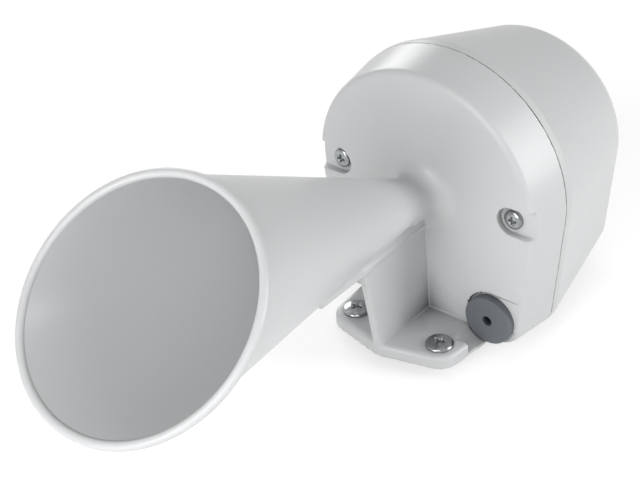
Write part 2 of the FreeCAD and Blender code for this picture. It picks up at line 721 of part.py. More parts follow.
def make_rear_cover():
    """The deep tapered cover with its screw posts and the posts of the circuit board."""
    body = new_body("rear_cover")
    rim = front_sketch(body, "rim_section", seam)
    seam_drum(rim)
    collar = front_sketch(body, "collar_section", collar_end)
    seam_drum(collar)
    back = front_sketch(body, "back_section", cover_back)
    back_drum(back)
    ring = loft(body, "AdditiveLoft", "collar", collar, rim)
    trim_edges(body, "Chamfer", "rim_edge", ring, in_plane("Y", seam), "Size", s.seam_break)
    cone = loft(body, "AdditiveLoft", "cover", back, collar)
    trim_edges(body, "Fillet", "back_edge", cone, in_plane("Y", cover_back), "Radius", s.rear_round)

    inner_back = cover_back - s.rear_wall
    rim_in = front_sketch(body, "rim_inside", seam)
    seam_drum(rim_in, s.housing_wall)
    collar_in = front_sketch(body, "collar_inside", collar_end)
    seam_drum(collar_in, s.housing_wall)
    back_in = front_sketch(body, "back_inside", inner_back)
    back_drum(back_in, s.housing_wall)
    loft(body, "SubtractiveLoft", "collar_hollow", collar_in, rim_in)
    hollow = loft(body, "SubtractiveLoft", "cover_hollow", back_in, collar_in)
    trim_edges(body, "Fillet", "inner_back_edge", hollow, in_plane("Y", inner_back), "Radius",
               s.rear_round - s.rear_wall)

    # The screw posts, each held to the side wall by a rib
    posts = front_sketch(body, "post_section", post_front)
    circle(posts, cover_side, s.axis_height, s.post_radius)
    circle(posts, -cover_side, s.axis_height, s.post_radius)
    pad(body, "posts", posts, post_back - post_front, backwards=True)
    ribs = flat_sketch(body, "rib_plan", s.axis_height)
    wall_front = s.seam_radius - s.housing_wall / 2
    fall = (s.seam_radius - s.rear_radius) * (post_back - collar_end) / (cover_back - collar_end)
    wall_back = wall_front - fall
    for way in (1, -1):
        corners = [
            (cover_side * way, collar_end),
            (wall_front * way, collar_end),
            (wall_back * way, post_back),
            (cover_side * way, post_back),
        ]
        outline(ribs, corners if way > 0 else corners[::-1])
    pad(body, "ribs", ribs, s.post_rib, both_ways=True)
    pilots = front_sketch(body, "post_pilots", post_front)
    circle(pilots, cover_side, s.axis_height, s.cover_shank + s.screw_clearance)
    circle(pilots, -cover_side, s.axis_height, s.cover_shank + s.screw_clearance)
    pocket(body, "post_holes", pilots, s.cover_shank_length)

    # The posts of the circuit board, from the back wall
    carriers = front_sketch(body, "board_posts", board_back)
    for x, y in board_corners():
        circle(carriers, x, y, s.board_post)
    pad(body, "carriers", carriers, inner_back - board_back, backwards=True)
    bores = front_sketch(body, "board_pilots", board_back)
    for x, y in board_corners():
        circle(bores, x, y, s.board_screw + s.screw_clearance)
    pocket(body, "board_holes", bores, s.board_screw_bite + s.clearance)
    return body


def board_corners():
    """The four screw places of the circuit board."""
    reach = s.board_half_width - s.board_inset
    rise = s.board_half_height - s.board_inset
    places = []
    for way, lift in ((1, -1), (1, 1), (-1, 1), (-1, -1)):
        places.append((reach * way, s.board_height + rise * lift))
    return places


def make_seal():
    """The ring seal in the groove of the front shell's rim."""
    body = new_body("seam_gasket")
    section = front_sketch(body, "seal_section", seam)
    seam_drum(section, s.groove_inset + s.seal_play)
    seam_drum(section, s.groove_inset + s.groove_width - s.seal_play)
    pad(body, "seal", section, s.groove_depth)
    return body


def make_cover_screw(name, side):
    """A pan-head screw along Y with a cross recess."""
    head_front = pocket_floor - s.cover_head_height
    body = turned(name, [
        (head_front, 0),
        (pocket_floor + s.cover_shank_length, 0),
        (pocket_floor + s.cover_shank_length, s.cover_shank),
        (pocket_floor, s.cover_shank),
        (pocket_floor, s.cover_head),
        (head_front + s.cover_head_round, s.cover_head, s.cover_head_round),
        (head_front, s.cover_head - s.cover_head_round),
    ], s.axis_height, side)
    recess = front_sketch(body, name + "_cross", head_front, side, s.axis_height)
    cross_outline(recess, s.cover_recess_half_length, s.recess_half_width)
    pocket(body, name + "_recess", recess, s.recess_depth)
    return body


def make_mount_screw(name, side):
    """A pan-head machine screw through the flange with a cross recess."""
    body = new_body(name)
    profile = front_sketch(body, name + "_profile", 0, side)
    top = s.flange_thickness + s.mount_head_height
    outline(profile, [
        (0, -s.mount_reach),
        (s.mount_thread, -s.mount_reach),
        (s.mount_thread, 0),
        (s.mount_shank, 0),
        (s.mount_shank, s.flange_thickness),
        (s.mount_head, s.flange_thickness),
        (s.mount_head, top - s.mount_head_round, s.mount_head_round),
        (s.mount_head - s.mount_head_round, top),
        (0, top),
    ])
    turn(body, "Revolution", name + "_turn", profile, "V_Axis")
    recess = flat_sketch(body, name + "_cross", top, side)
    cross_outline(recess, s.recess_half_length, s.recess_half_width)
    pocket(body, name + "_recess", recess, s.recess_depth)
    return body


def make_grommet():
    """The rubber grommet with its disc outside, its neck in the wall and its lip inside."""
    lip_back = inner_face + s.grommet_lip_length
    return turned("cable_grommet", [
        (lip_back, s.cable_bore),
        (lip_back, s.grommet_lip),
        (inner_face, s.grommet_lip),
        (inner_face, s.grommet_neck),
        (grommet_seat, s.grommet_neck),
        (grommet_seat, s.grommet_radius),
        (grommet_front + s.grommet_edge_round, s.grommet_radius, s.grommet_edge_round),
        (grommet_front, s.grommet_radius - s.grommet_edge_round),
        (grommet_front, s.cable_bore),
    ], s.grommet_height, grommet_side)


def ring(name, front, back, inner, outer):
    """A plain ring about the driver's axis."""
    return turned(name, [(front, inner), (back, inner), (back, outer), (front, outer)], s.axis_height)


def make_driver_frame():
    """The driver's frame: a square plate with a round cup behind it and a step for the phase plug."""
    body = new_body("driver_frame")
    plate = front_sketch(body, "frame_plate", frame_front, 0, s.axis_height)
    belt(plate, [(x, y, s.frame_corner) for x, y in driver_corners()])
    pad(body, "plate", plate, s.frame_plate, backwards=True)
    cup = front_sketch(body, "frame_cup", frame_front, 0, s.axis_height)
    circle(cup, 0, 0, s.frame_cup_radius)
    pad(body, "cup", cup, s.frame_cup_depth, backwards=True)
    inside = side_sketch(body, "frame_inside", s.axis_height)
    step_front = frame_front + s.plug_thickness
    step_back = step_front + s.frame_step_width
    outline(inside, [
        (frame_front, 0),
        (frame_back, 0),
        (frame_back, s.frame_bore),
        (step_back, s.frame_bore),
        (step_back, s.frame_step),
        (step_front, s.frame_step),
        (step_front, s.frame_bore),
        (frame_front, s.frame_bore),
    ])
    turn(body, "Groove", "inside", inside, "H_Axis")
    holes = front_sketch(body, "frame_holes", frame_front, 0, s.axis_height)
    for x, y in driver_corners():
        circle(holes, x, y, s.driver_screw_radius + s.screw_clearance)
    pocket(body, "holes", holes, s.frame_plate)
    return body


def make_phase_plug():
    """The phase plug: a cone in the throat on a disc with a ring of sound holes."""
    body = turned("phase_plug", [
        (frame_front - s.plug_length, 0),
        (frame_front + s.plug_thickness, 0),
        (frame_front + s.plug_thickness, s.frame_bore - s.screw_clearance),
        (frame_front, s.frame_bore - s.screw_clearance),
        (frame_front, s.plug_root),
        (frame_front - s.plug_length, s.plug_tip),
    ], s.axis_height)
    hole = front_sketch(body, "plug_hole", frame_front, 0, s.axis_height)
    circle(hole, s.plug_hole_circle, 0, s.plug_hole)
    first = pocket(body, "sound_hole", hole, s.plug_thickness)
    doc.recompute()
    pattern = body.newObject("PartDesign::PolarPattern", "sound_holes")
    pattern.Originals = [first]
    pattern.Axis = (hole, ["N_Axis"])
    pattern.Angle = 360
    pattern.Occurrences = 6
    body.Tip = pattern
    return body


def make_diaphragm():
    """The domed diaphragm with its flexible roll, turned from one thin outline."""
    neck = s.coil_radius + s.coil_thickness
    back = top_plate_front
    front = frame_back
    roll_inner = neck + s.film
    roll_bulge = s.roll_radius
    sag = s.dome_radius - root(s.dome_radius * s.dome_radius - s.coil_radius * s.coil_radius)
    return turned("diaphragm", [
        (front, s.diaphragm_rim),
        (front, s.diaphragm_roll, roll_bulge),
        (front, roll_inner),
        (front, s.coil_radius, s.dome_radius),
        (front - sag, 0),
        (back - sag, 0, -s.dome_radius),
        (back, s.coil_radius),
        (back, roll_inner + s.film, -roll_bulge),
        (back, s.diaphragm_roll - s.film),
        (back, s.diaphragm_rim),
    ], s.axis_height)


def make_driver_screws():
    """Four equal pan-head screws through the corners of the driver's frame."""
    body = new_body("driver_screw")
    seat = frame_front + s.frame_plate
    shanks = front_sketch(body, "driver_shanks", frame_front - s.driver_screw_bite, 0, s.axis_height)
    heads = front_sketch(body, "driver_heads", seat, 0, s.axis_height)
    for x, y in driver_corners():
        circle(shanks, x, y, s.driver_screw_radius)
        circle(heads, x, y, s.driver_head)
    pad(body, "shanks", shanks, s.frame_plate + s.driver_screw_bite, backwards=True)
    pad(body, "heads", heads, s.driver_head_height, backwards=True)
    return body


def make_tags():
    """Two solder tags on the back of the driver's plate."""
    body = new_body("driver_tags")
    plan = front_sketch(body, "tag_plan", frame_front + s.frame_plate, 0, s.axis_height)
    top = -s.frame_cup_radius + s.clearance * 2
    for way in (1, -1):
        centre = s.tag_side * way
        box_outline(plan, centre - s.tag_width / 2, top - s.tag_length, centre + s.tag_width / 2, top)
    pad(body, "tags", plan, s.tag_thickness, backwards=True)
    return body


def board_sketch(body, name, out=0):
    """A sketch on the front of the circuit board, about the board's centre."""
    return front_sketch(body, name, board_front - out, 0, s.board_height)


def make_board():
    body = new_body("circuit_board")
    plan = front_sketch(body, "board_plan", board_front, 0, s.board_height)
    box_outline(plan, -s.board_half_width, -s.board_half_height, s.board_half_width, s.board_half_height)
    reach = s.board_half_width - s.board_inset
    rise = s.board_half_height - s.board_inset
    for way, lift in ((1, -1), (1, 1), (-1, 1), (-1, -1)):
        circle(plan, reach * way, rise * lift, s.board_screw + s.screw_clearance)
    pad(body, "board", plan, s.board_thickness, backwards=True)
    return body


def make_board_screws():
    """Four equal screws that hold the circuit board to its posts."""
    body = new_body("board_screws")
    heads = front_sketch(body, "board_heads", board_front)
    shanks = front_sketch(body, "board_shanks", board_front)
    for x, y in board_corners():
        circle(heads, x, y, s.board_head)
        circle(shanks, x, y, s.board_screw)
    pad(body, "board_shank", shanks, s.board_thickness + s.board_screw_bite, backwards=True)
    pad(body, "board_head", heads, s.board_head_height)
    return body


def make_terminal_block():
    """Two-way terminal block with its wire entries below and its screw wells in front."""
    body = new_body("terminal_block")
    plan = board_sketch(body, "terminal_plan")
    low = -s.terminal_drop - s.terminal_height / 2
    high = -s.terminal_drop + s.terminal_height / 2
    box_outline(plan, -s.terminal_half_width, low, s.terminal_half_width, high)
    pad(body, "terminal", plan, s.terminal_depth)
    wells = board_sketch(body, "terminal_wells", s.terminal_depth)
    for way in (1, -1):
        circle(wells, s.terminal_screw_half_spacing * way, -s.terminal_drop,
               s.terminal_screw + s.screw_clearance)
    pocket(body, "wells", wells, s.terminal_screw_sunk + s.terminal_screw_length)
    return body


def make_terminal_screws():
    body = new_body("terminal_screws")
    plan = board_sketch(body, "terminal_screw_plan", s.terminal_depth - s.terminal_screw_sunk)
    for way in (1, -1):
        circle(plan, s.terminal_screw_half_spacing * way, -s.terminal_drop, s.terminal_screw)
    pad(body, "terminal_screw", plan, s.terminal_screw_length, backwards=True)
    return body


def make_cans(name, places, radius, length):
    """Upright round parts that stand on the board."""
    body = new_body(name)
    plan = board_sketch(body, name + "_plan")
    for x, y in places:
        circle(plan, x, y, radius)
    pad(body, name + "_can", plan, length)
    return body


def make_chip():
    """The tone chip on eight legs."""
    body = new_body("tone_chip")
    plan = board_sketch(body, "chip_plan", s.chip_stand)
    box_outline(plan, -s.chip_half_width, s.chip_rise - s.chip_half_height, s.chip_half_width,
                s.chip_rise + s.chip_half_height)
    pad(body, "chip", plan, s.chip_depth)
    legs = board_sketch(body, "chip_legs")
    for column in range(4):
        x = s.pin_pitch * (column - 1.5)
        for way in (1, -1):
            y = s.chip_rise + (s.chip_half_height - s.pin_width) * way
            box_outline(legs, x - s.pin_width / 2, y - s.pin_width / 2, x + s.pin_width / 2, y + s.pin_width / 2)
    pad(body, "legs", legs, s.chip_stand + s.chip_depth / 2)
    return body


def make_sink():
    """The heat sink, a plate that stands on the board beside the power transistors."""
    body = new_body("heat_sink")
    plan = board_sketch(body, "sink_plan")
    box_outline(plan, -s.sink_side - s.sink_thickness, -s.sink_half_height, -s.sink_side, s.sink_half_height)
    pad(body, "sink", plan, s.sink_depth)
    return body


def make_power(name, way):
    """A power transistor against the heat sink, on three legs."""
    body = new_body(name)
    plan = board_sketch(body, name + "_plan", s.power_stand)
    middle = s.power_half_pitch * way
    inner = -s.sink_side + s.power_thickness
    box_outline(plan, -s.sink_side, middle - s.power_half_height, inner, middle + s.power_half_height)
    pad(body, name + "_body", plan, s.power_depth)
    legs = board_sketch(body, name + "_legs")
    left = -s.sink_side + s.power_thickness / 2 - s.pin_width / 2
    for number in (-1, 0, 1):
        low = middle + s.pin_pitch * number - s.pin_width / 2
        box_outline(legs, left, low, left + s.pin_width, low + s.pin_width)
    pad(body, name + "_leg", legs, s.power_stand)
    return body


def make_axial(name, places, radius, length):
    """Parts that lie on the board between two bent leads."""
    body = new_body(name)
    for number, (x, y) in enumerate(places):
        side = board_front - radius - s.resistor_lead
        profile = sketch_on(body, "%s_profile_%d" % (name, number), "XY_Plane",
                            (x, side, s.board_height + y))
        outline(profile, [
            (-length / 2, 0), (length / 2, 0), (length / 2, radius), (-length / 2, radius),
        ])
        turn(body, "Revolution", "%s_body_%d" % (name, number), profile, "H_Axis")
        ends = board_sketch(body, "%s_leads_%d" % (name, number))
        for way in (1, -1):
            middle = x + (length / 2 + s.resistor_lead_length - s.resistor_lead) * way
            circle(ends, middle, y, s.resistor_lead)
        pad(body, "%s_legs_%d" % (name, number), ends, radius + s.resistor_lead * 2)
        bars = sketch_on(body, "%s_bars_%d" % (name, number), "YZ_Plane",
                         (side, s.board_height + y, x - length / 2 - s.resistor_lead_length))
        circle(bars, 0, 0, s.resistor_lead)
        pad(body, "%s_bar_%d" % (name, number), bars, length + s.resistor_lead_length * 2)
    return body


def tube_path(points):
    """Straight runs through the points, joined by the largest tangent arcs that their runs allow."""
    edges = []
    last = points[0]
    for number in range(1, len(points) - 1):
        corner = points[number]
        before = points[number - 1] - corner
        after = points[number + 1] - corner
        reach = 0.45 * min(before.Length, after.Length)
        start = corner + Vector(before).normalize() * reach
        end = corner + Vector(after).normalize() * reach
        half_turn = before.getAngle(after) / 2
        radius = reach * math.tan(half_turn)
        to_centre = (Vector(before).normalize() + Vector(after).normalize()).normalize()
        centre = corner + to_centre * (radius / math.sin(half_turn))
        middle = centre - to_centre * radius
        edges.append(Part.LineSegment(last, start).toShape())
        edges.append(Part.Arc(start, middle, end).toShape())
        last = end
    edges.append(Part.LineSegment(last, points[-1]).toShape())
    return Part.Wire(edges)


def make_lead(name, way):
    """An insulated lead from a solder tag, under the magnet, to the foot of the circuit board."""
    tag_low = s.axis_height - s.frame_cup_radius + s.clearance * 2 - s.tag_length
    tag_back = frame_front + s.frame_plate + s.tag_thickness
    side = s.tag_side.value * way
    end_side = s.lead_end_side.value * way
    end_height = (s.board_height - s.lead_end_drop).value
    start_height = (tag_low + s.lead_start).value
    depth = board_front.value - tag_back.value
    low = (s.axis_height - s.magnet_radius - s.lead_clear).value
    dip = s.lead_dip.value
    points = [
        Vector(side, tag_back.value, start_height),
        Vector(side, tag_back.value + depth * 0.16, start_height - dip * 0.2),
        Vector(side + way * dip / 2, tag_back.value + depth * 0.42, low - dip),
        Vector(end_side - way * dip * 0.2, tag_back.value + depth * 0.7, low - dip * 0.4),
        Vector(end_side, board_front.value - depth * 0.1, end_height - dip * 0.1),
        Vector(end_side, board_front.value, end_height),
    ]
    path = tube_path(points)
    section = Part.Wire(Part.Circle(points[0], Vector(0, 1, 0), s.lead_radius.value).toShape())
    lead = doc.addObject("Part::Feature", name)
    lead.Label = name
    lead.Shape = path.makePipeShell([section], True, False)
    return lead


def check_document():
    """Stop if any object failed, or if a cut removed nothing."""
    cuts = ("PartDesign::Pocket", "PartDesign::Groove", "PartDesign::SubtractiveLoft")
    for item in doc.Objects:
        if "Invalid" in item.State or "Error" in item.State:
            raise RuntimeError("%s failed" % item.Name)
        if item.TypeId in cuts and item.Shape.Volume > item.BaseFeature.Shape.Volume - 0.001:
            raise RuntimeError("%s cuts nothing" % item.Name)
        if item.TypeId == "Sketcher::SketchObject" and item.solve() != 0:
            raise RuntimeError("%s has no solution" % item.Name)


def write(pieces):
    """Check each piece and write it to its own file."""
    doc.recompute()
    check_document()
    os.makedirs("parts", exist_ok=True)
    for piece in pieces:
        shape = piece.Shape
        if shape.isNull() or not shape.isValid() or not shape.Solids:
            raise RuntimeError("%s is not a valid solid" % piece.Label)
        shape.exportStep(os.path.join("parts", piece.Label + ".step"))
        print(piece.Label, len(shape.Solids), "solid", round(shape.Volume, 1), "mm3")


resistor_places = []
for line in range(3):
    resistor_places.append((-s.resistor_side, -s.resistor_drop - s.resistor_pitch * line))
can_places = []
for line in range(2):
    can_places.append((-s.small_can_side - s.small_can_pitch * line, s.small_can_rise))

plate_hole = s.coil_radius + s.coil_thickness + s.air_gap
pieces = [
    make_front_shell(),
    make_rear_cover(),
    make_seal(),
    make_cover_screw("cover_screw_left", -cover_side),
    make_cover_screw("cover_screw_right", cover_side),
    make_mount_screw("mount_screw_left", -s.mount_half_spacing),
    make_mount_screw("mount_screw_right", s.mount_half_spacing),
    make_grommet(),
    ring("driver_gasket", inner_face, frame_front, s.driver_gasket_inner, s.driver_gasket_outer),
    make_driver_frame(),
    make_phase_plug(),
    make_diaphragm(),
    ring("voice_coil", top_plate_front, top_plate_front + s.coil_length, s.coil_radius,
         s.coil_radius + s.coil_thickness),
    ring("top_plate", top_plate_front, magnet_front, plate_hole, s.plate_radius),
    ring("magnet_ring", magnet_front, magnet_back, s.magnet_bore, s.magnet_radius),
    turned("pole_yoke", [
        (top_plate_front + s.air_gap, 0),
        (magnet_back + s.plate_thickness, 0),
        (magnet_back + s.plate_thickness, s.plate_radius),
        (magnet_back, s.plate_radius),
        (magnet_back, s.coil_radius - s.air_gap),
        (top_plate_front + s.air_gap, s.coil_radius - s.air_gap),
    ], s.axis_height),
    make_driver_screws(),
    make_tags(),
    make_board(),
    make_board_screws(),
    make_terminal_block(),
    make_terminal_screws(),
    make_cans("supply_capacitor", [(s.capacitor_side, s.capacitor_rise)], s.capacitor_radius,
              s.capacitor_length),
    make_cans("signal_capacitors", can_places, s.small_can_radius, s.small_can_length),
    make_chip(),
    make_sink(),
    make_power("power_transistor_left", 1),
    make_power("power_transistor_right", -1),
    make_axial("resistors", resistor_places, s.resistor_radius, s.resistor_length),
    make_axial("supply_diode", [(s.diode_side, -s.diode_drop)], s.diode_radius, s.diode_length),
    make_lead("speaker_lead_red", 1),
    make_lead("speaker_lead_black", -1),
]
write(pieces)
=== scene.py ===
"""Looks of the electronic siren: smooth moulded shells, rubber, screws, materials, light and camera.

The moulded shells and the screws are meshed from distance fields, so that every junction of the moulding
gets its own small rounding and every vertex its exact normal. Lengths in the fields are in millimetres.
"""
import json
import math

import bpy
import numpy as np
from mathutils import Matrix, Vector


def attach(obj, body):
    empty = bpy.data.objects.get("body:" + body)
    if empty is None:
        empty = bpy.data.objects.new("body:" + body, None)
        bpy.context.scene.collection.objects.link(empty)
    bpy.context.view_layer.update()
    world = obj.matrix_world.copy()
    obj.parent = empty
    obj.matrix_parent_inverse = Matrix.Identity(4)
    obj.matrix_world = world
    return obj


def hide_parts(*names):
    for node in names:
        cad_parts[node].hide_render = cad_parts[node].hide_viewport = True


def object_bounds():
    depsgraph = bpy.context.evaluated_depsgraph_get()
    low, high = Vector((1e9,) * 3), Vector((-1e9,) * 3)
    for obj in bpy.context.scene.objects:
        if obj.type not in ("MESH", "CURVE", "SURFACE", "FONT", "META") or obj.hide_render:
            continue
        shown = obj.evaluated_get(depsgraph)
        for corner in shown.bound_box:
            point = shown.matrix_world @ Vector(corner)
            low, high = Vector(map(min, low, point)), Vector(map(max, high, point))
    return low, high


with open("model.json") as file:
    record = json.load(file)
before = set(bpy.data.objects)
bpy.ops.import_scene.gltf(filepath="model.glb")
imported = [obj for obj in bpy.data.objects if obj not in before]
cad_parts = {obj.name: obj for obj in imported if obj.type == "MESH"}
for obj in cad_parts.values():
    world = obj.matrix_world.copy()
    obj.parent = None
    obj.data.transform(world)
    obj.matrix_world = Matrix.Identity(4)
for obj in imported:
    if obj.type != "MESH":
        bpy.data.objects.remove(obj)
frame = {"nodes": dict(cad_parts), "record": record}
cad_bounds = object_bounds()

MM = 0.001

# The housing, in millimetres and degrees
FACE_DEPTH = 16.3
AXIS_HEIGHT = 52.7
FACE_RADIUS = 44.3
FACE_CORNER = 8.5
FACE_FOOT = 1.0
SEAM_DEPTH = 17.6
SEAM_RADIUS = 46.9
SEAM_CORNER = 10.2
SEAM_FOOT = 0.3
SIDE_LEAN = math.radians(7.4)
HOUSING_WALL = 2.6
FRONT_WALL = 3.0
EDGE_ROUND = 2.0
SEAM_BREAK = 0.15
SEAM_GAP = 0.13
COLLAR_LENGTH = 3.0
COVER_DEPTH = 58.1
RIM_ROUND = 0.3
REAR_RADIUS = 34.1
REAR_AXIS_HEIGHT = 48.3
REAR_FOOT = 2.6
REAR_CORNER = 11.0
REAR_ROUND = 8.0
REAR_WALL = 2.6
SEAM = FACE_DEPTH + SEAM_DEPTH
COLLAR_END = SEAM + COLLAR_LENGTH
COVER_BACK = SEAM + COVER_DEPTH

# The horn
MOUTH_FORWARD = 117.9
MOUTH_HEIGHT = 84.75
MOUTH_SLOPE = math.radians(40.2)
MOUTH_RADIUS = 40.6
HORN_WALL = 1.5
LIP_RADIUS = 1.5
LIP_PROUD = 1.73
LIP_TURN = (170, -120)
MOUTH_CAP_STRIP = 1.1
MOUTH_CAP_BACK = -60
THROAT_CAP_INSET = 0.4
THROAT_BORE = 5.0
THROAT_WALL = 1.75
THROAT_START = FACE_DEPTH - 5.1
THROAT_CUT = (THROAT_START - 0.5, 30.0)
THROAT_EDGE = 0.2
NECK_ROUND = 7.5
NECK_RADIUS = 7.6
STUB_FRONT = 4.0
STUB_ROUND = 2.5

# The fin, the leg web and the flange
FIN_HALF = 1.8
FIN_REACH = 41.2
FIN_FOOT = 37.9
FIN_RISE = 1.6
FIN_SLANT = 4.5
FIN_EDGE = 0.5
FIN_WEB_ROUND = 2.0
FIN_HORN_ROUND = 1.5
WEB_TOP_HALF = 1.1
WEB_FOOT_HALF = 1.7
WEB_FOOT_FORWARD = 12.2
WEB_TOP_FORWARD = 18.7
WEB_BASE = 1.0
WEB_EDGE = 0.7
WEB_ROUND = 0.3
FLANGE_THICKNESS = 5.0
FLANGE_FRONT = 12.1
FLANGE_NOSE = 2.5
FLANGE_LOBE = 7.63
FLANGE_REAR_HALF = 27.0
FLANGE_REAR_ROUND = 2.0
FLANGE_EDGE_ROUND = 1.6
FLANGE_FOOT_ROUND = 0.3

# How far the forms reach into each other where they join
OVERLAP = 2

# Screws, pockets, posts and the grommet. A recess gives the half length and half width of its arms
MOUNT_HALF_SPACING = 18.0
MOUNT_HOLE = 2.75
MOUNT_SHANK = 2.6
MOUNT_THREAD = 2.45
MOUNT_REACH = 3.0
MOUNT_HEAD = 5.0
MOUNT_HEAD_HEIGHT = 2.1
MOUNT_RECESS = (2.35, 0.5)
MOUNT_PITCH = 0.8
COVER_HALF_SPACING = 36.0
POCKET_RADIUS = 5.2
POCKET_DEPTH = 3.0
POCKET_ROUND = 0.5
POCKET_EDGE = 0.4
BOSS_FLOOR = 3.0
BOSS_HALF_HEIGHT = 7.2
BOSS_MIDDLE = 36.7
BOSS_HALF_WIDTH = 7.9
BOSS_ROUND = 0.5
SHELL_HOLE_FRONT = 15.0
COVER_HEAD = 3.5
COVER_HEAD_HEIGHT = 2.2
COVER_SHANK = 1.7
COVER_SHANK_LENGTH = 14.0
COVER_RECESS = (1.9, 0.42)
COVER_PITCH = 1.2
HEAD_EDGE = 1.0
HEAD_CROWN = 2.6
HEAD_CROWN_EDGE = 0.6
SHANK_START = 0.8
THREAD_DEPTH = 0.12
RECESS_DEPTH = 1.3
RECESS_ROUND = 0.15
RECESS_EDGE = 0.12
RECESS_ARM_TAPER = 0.45
RECESS_WEB_TAPER = 0.25
RECESS_CONE = 0.62
RECESS_CONE_TAPER = 0.75
SCREW_CLEARANCE = 0.15
POST_RADIUS = 4.0
POST_FRONT = FACE_DEPTH + POCKET_DEPTH + BOSS_FLOOR + 0.3
POST_BACK = SEAM + 24.0
POST_INSET = 1.0
RIB_HALF = 1.2
RIB_ROUND = 0.5
CARRIER_SIDE = 19.0
CARRIER_MIDDLE = 50.0
CARRIER_RISE = 18.0
CARRIER_RADIUS = 3.0
CARRIER_SETBACK = 29.7
PILOT_RADIUS = 1.45
PILOT_SETBACK = 37.0
GROMMET_SIDE = 28.06
GROMMET_HEIGHT = 10.64
GROMMET_RADIUS = 9.13
GROMMET_PROUD = 2.5
GROMMET_NECK = 5.6
GROMMET_LIP = 7.3
GROMMET_LIP_LENGTH = 1.8
CABLE_BORE = 1.8
GROMMET_EDGE = 0.6
CABLE_EDGE = 0.4
ENTRY_FRONT = 10.0
SEAT_GAP = 0.57
SEAT_DEPTH = 0.6
SEAT_DROP = 6.0
SEAT_REACH = 40
SEAT_ROUND = 0.3
SEAT_EDGE = 0.25
SEAT_RADIUS = GROMMET_RADIUS + SEAT_GAP
RELIEF_FRONT = 6.0
RELIEF_ROUND = 0.4
RELIEF_EDGE = 0.3

# How steeply the fields of leaning walls rise, so that they still give distances
DRUM_COSINE = 0.99
COVER_COSINE = 0.98
WEB_COSINE = 0.98
HORN_COSINE = 0.93
THREAD_COSINE = 0.7

# How the meshes are made: the step that measures a slope, the pulls onto the surface, the steps around and
# along the horn, and the steps and the margin of the screws
SLOPE_STEP = 0.02
PULLS = 4
HORN_STEPS = 144
HORN_ROWS = 49
LIP_ROWS = 30
MOUNT_SCREW_STEP = 0.14
COVER_SCREW_STEP = 0.12
SCREW_MARGIN = 0.6


# Distance fields. Each takes arrays of places in millimetres; inside is negative

def round_union(a, b, radius):
    """Both shapes, with a hollow rounding where they meet."""
    corner = np.sqrt(np.maximum(radius - a, 0) ** 2 + np.maximum(radius - b, 0) ** 2)
    return np.maximum(radius, np.minimum(a, b)) - corner


def round_common(a, b, radius):
    """What both shapes share, with a rounded edge."""
    corner = np.sqrt(np.maximum(radius + a, 0) ** 2 + np.maximum(radius + b, 0) ** 2)
    return np.minimum(-radius, np.maximum(a, b)) + corner


def round_cut(a, b, radius):
    """The first shape without the second, with a rounded edge."""
    return round_common(a, -b, radius)


def belt(u, v, wheels):
    """Distance to the outline of a belt around wheels (u, v, radius), given against the clock."""
    best = np.full(np.broadcast(u, v).shape, -1e9)
    count = len(wheels)
    normals = []
    for number in range(count):
        cu, cv, cr = wheels[number]
        nu, nv, nr = wheels[(number + 1) % count]
        length = np.hypot(nu - cu, nv - cv)
        along_u = (nu - cu) / length
        along_v = (nv - cv) / length
        share = (cr - nr) / length
        flat = np.sqrt(1 - share ** 2)
        normal_u = along_v * flat + along_u * share
        normal_v = -along_u * flat + along_v * share
        normals.append((normal_u, normal_v))
        start_u = cu + normal_u * cr
        start_v = cv + normal_v * cr
        run = length * flat
        way_u = -normal_v
        way_v = normal_u
        place = (u - start_u) * way_u + (v - start_v) * way_v
        height = (u - start_u) * normal_u + (v - start_v) * normal_v
        best = np.where((place >= 0) & (place <= run), np.maximum(best, height), best)
    for number in range(count):
        cu, cv, cr = wheels[number]
        first_u, first_v = normals[number - 1]
        last_u, last_v = normals[number]
        du = u - cu
        dv = v - cv
        after_first = first_u * dv - first_v * du >= 0
        before_last = du * last_v - dv * last_u >= 0
        wide = first_u * last_v - first_v * last_u < 0
        within = np.where(wide, after_first | before_last, after_first & before_last)
        best = np.where(within, np.maximum(best, np.hypot(du, dv) - cr), best)
    return best


def tube(u, v, centre_u, centre_v, radius):
    """Distance to a round bar that runs along the third axis."""
    return np.hypot(u - centre_u, v - centre_v) - radius


def slab(w, low, high):
    """Distance to the space between two planes."""
    return np.maximum(low - w, w - high)


def drum_wheels(radius, height, foot, corner):
    """The housing's section: a round top, sides that lean in on their way down and a flat foot."""
    corner_height = foot + corner
    drop = (height - corner_height) * math.sin(SIDE_LEAN)
    side = (radius - corner - drop) / math.cos(SIDE_LEAN)
    return [(0, height, radius), (-side, corner_height, corner), (side, corner_height, corner)]


def between(first, last, share):
    """Wheels between those of two sections."""
    wheels = []
    for (u0, v0, r0), (u1, v1, r1) in zip(first, last):
        wheels.append((u0 + (u1 - u0) * share, v0 + (v1 - v0) * share, r0 + (r1 - r0) * share))
    return wheels


FACE_WHEELS = drum_wheels(FACE_RADIUS, AXIS_HEIGHT, FACE_FOOT, FACE_CORNER)
SEAM_WHEELS = drum_wheels(SEAM_RADIUS, AXIS_HEIGHT, SEAM_FOOT, SEAM_CORNER)
BACK_WHEELS = drum_wheels(REAR_RADIUS, REAR_AXIS_HEIGHT, REAR_FOOT, REAR_CORNER)


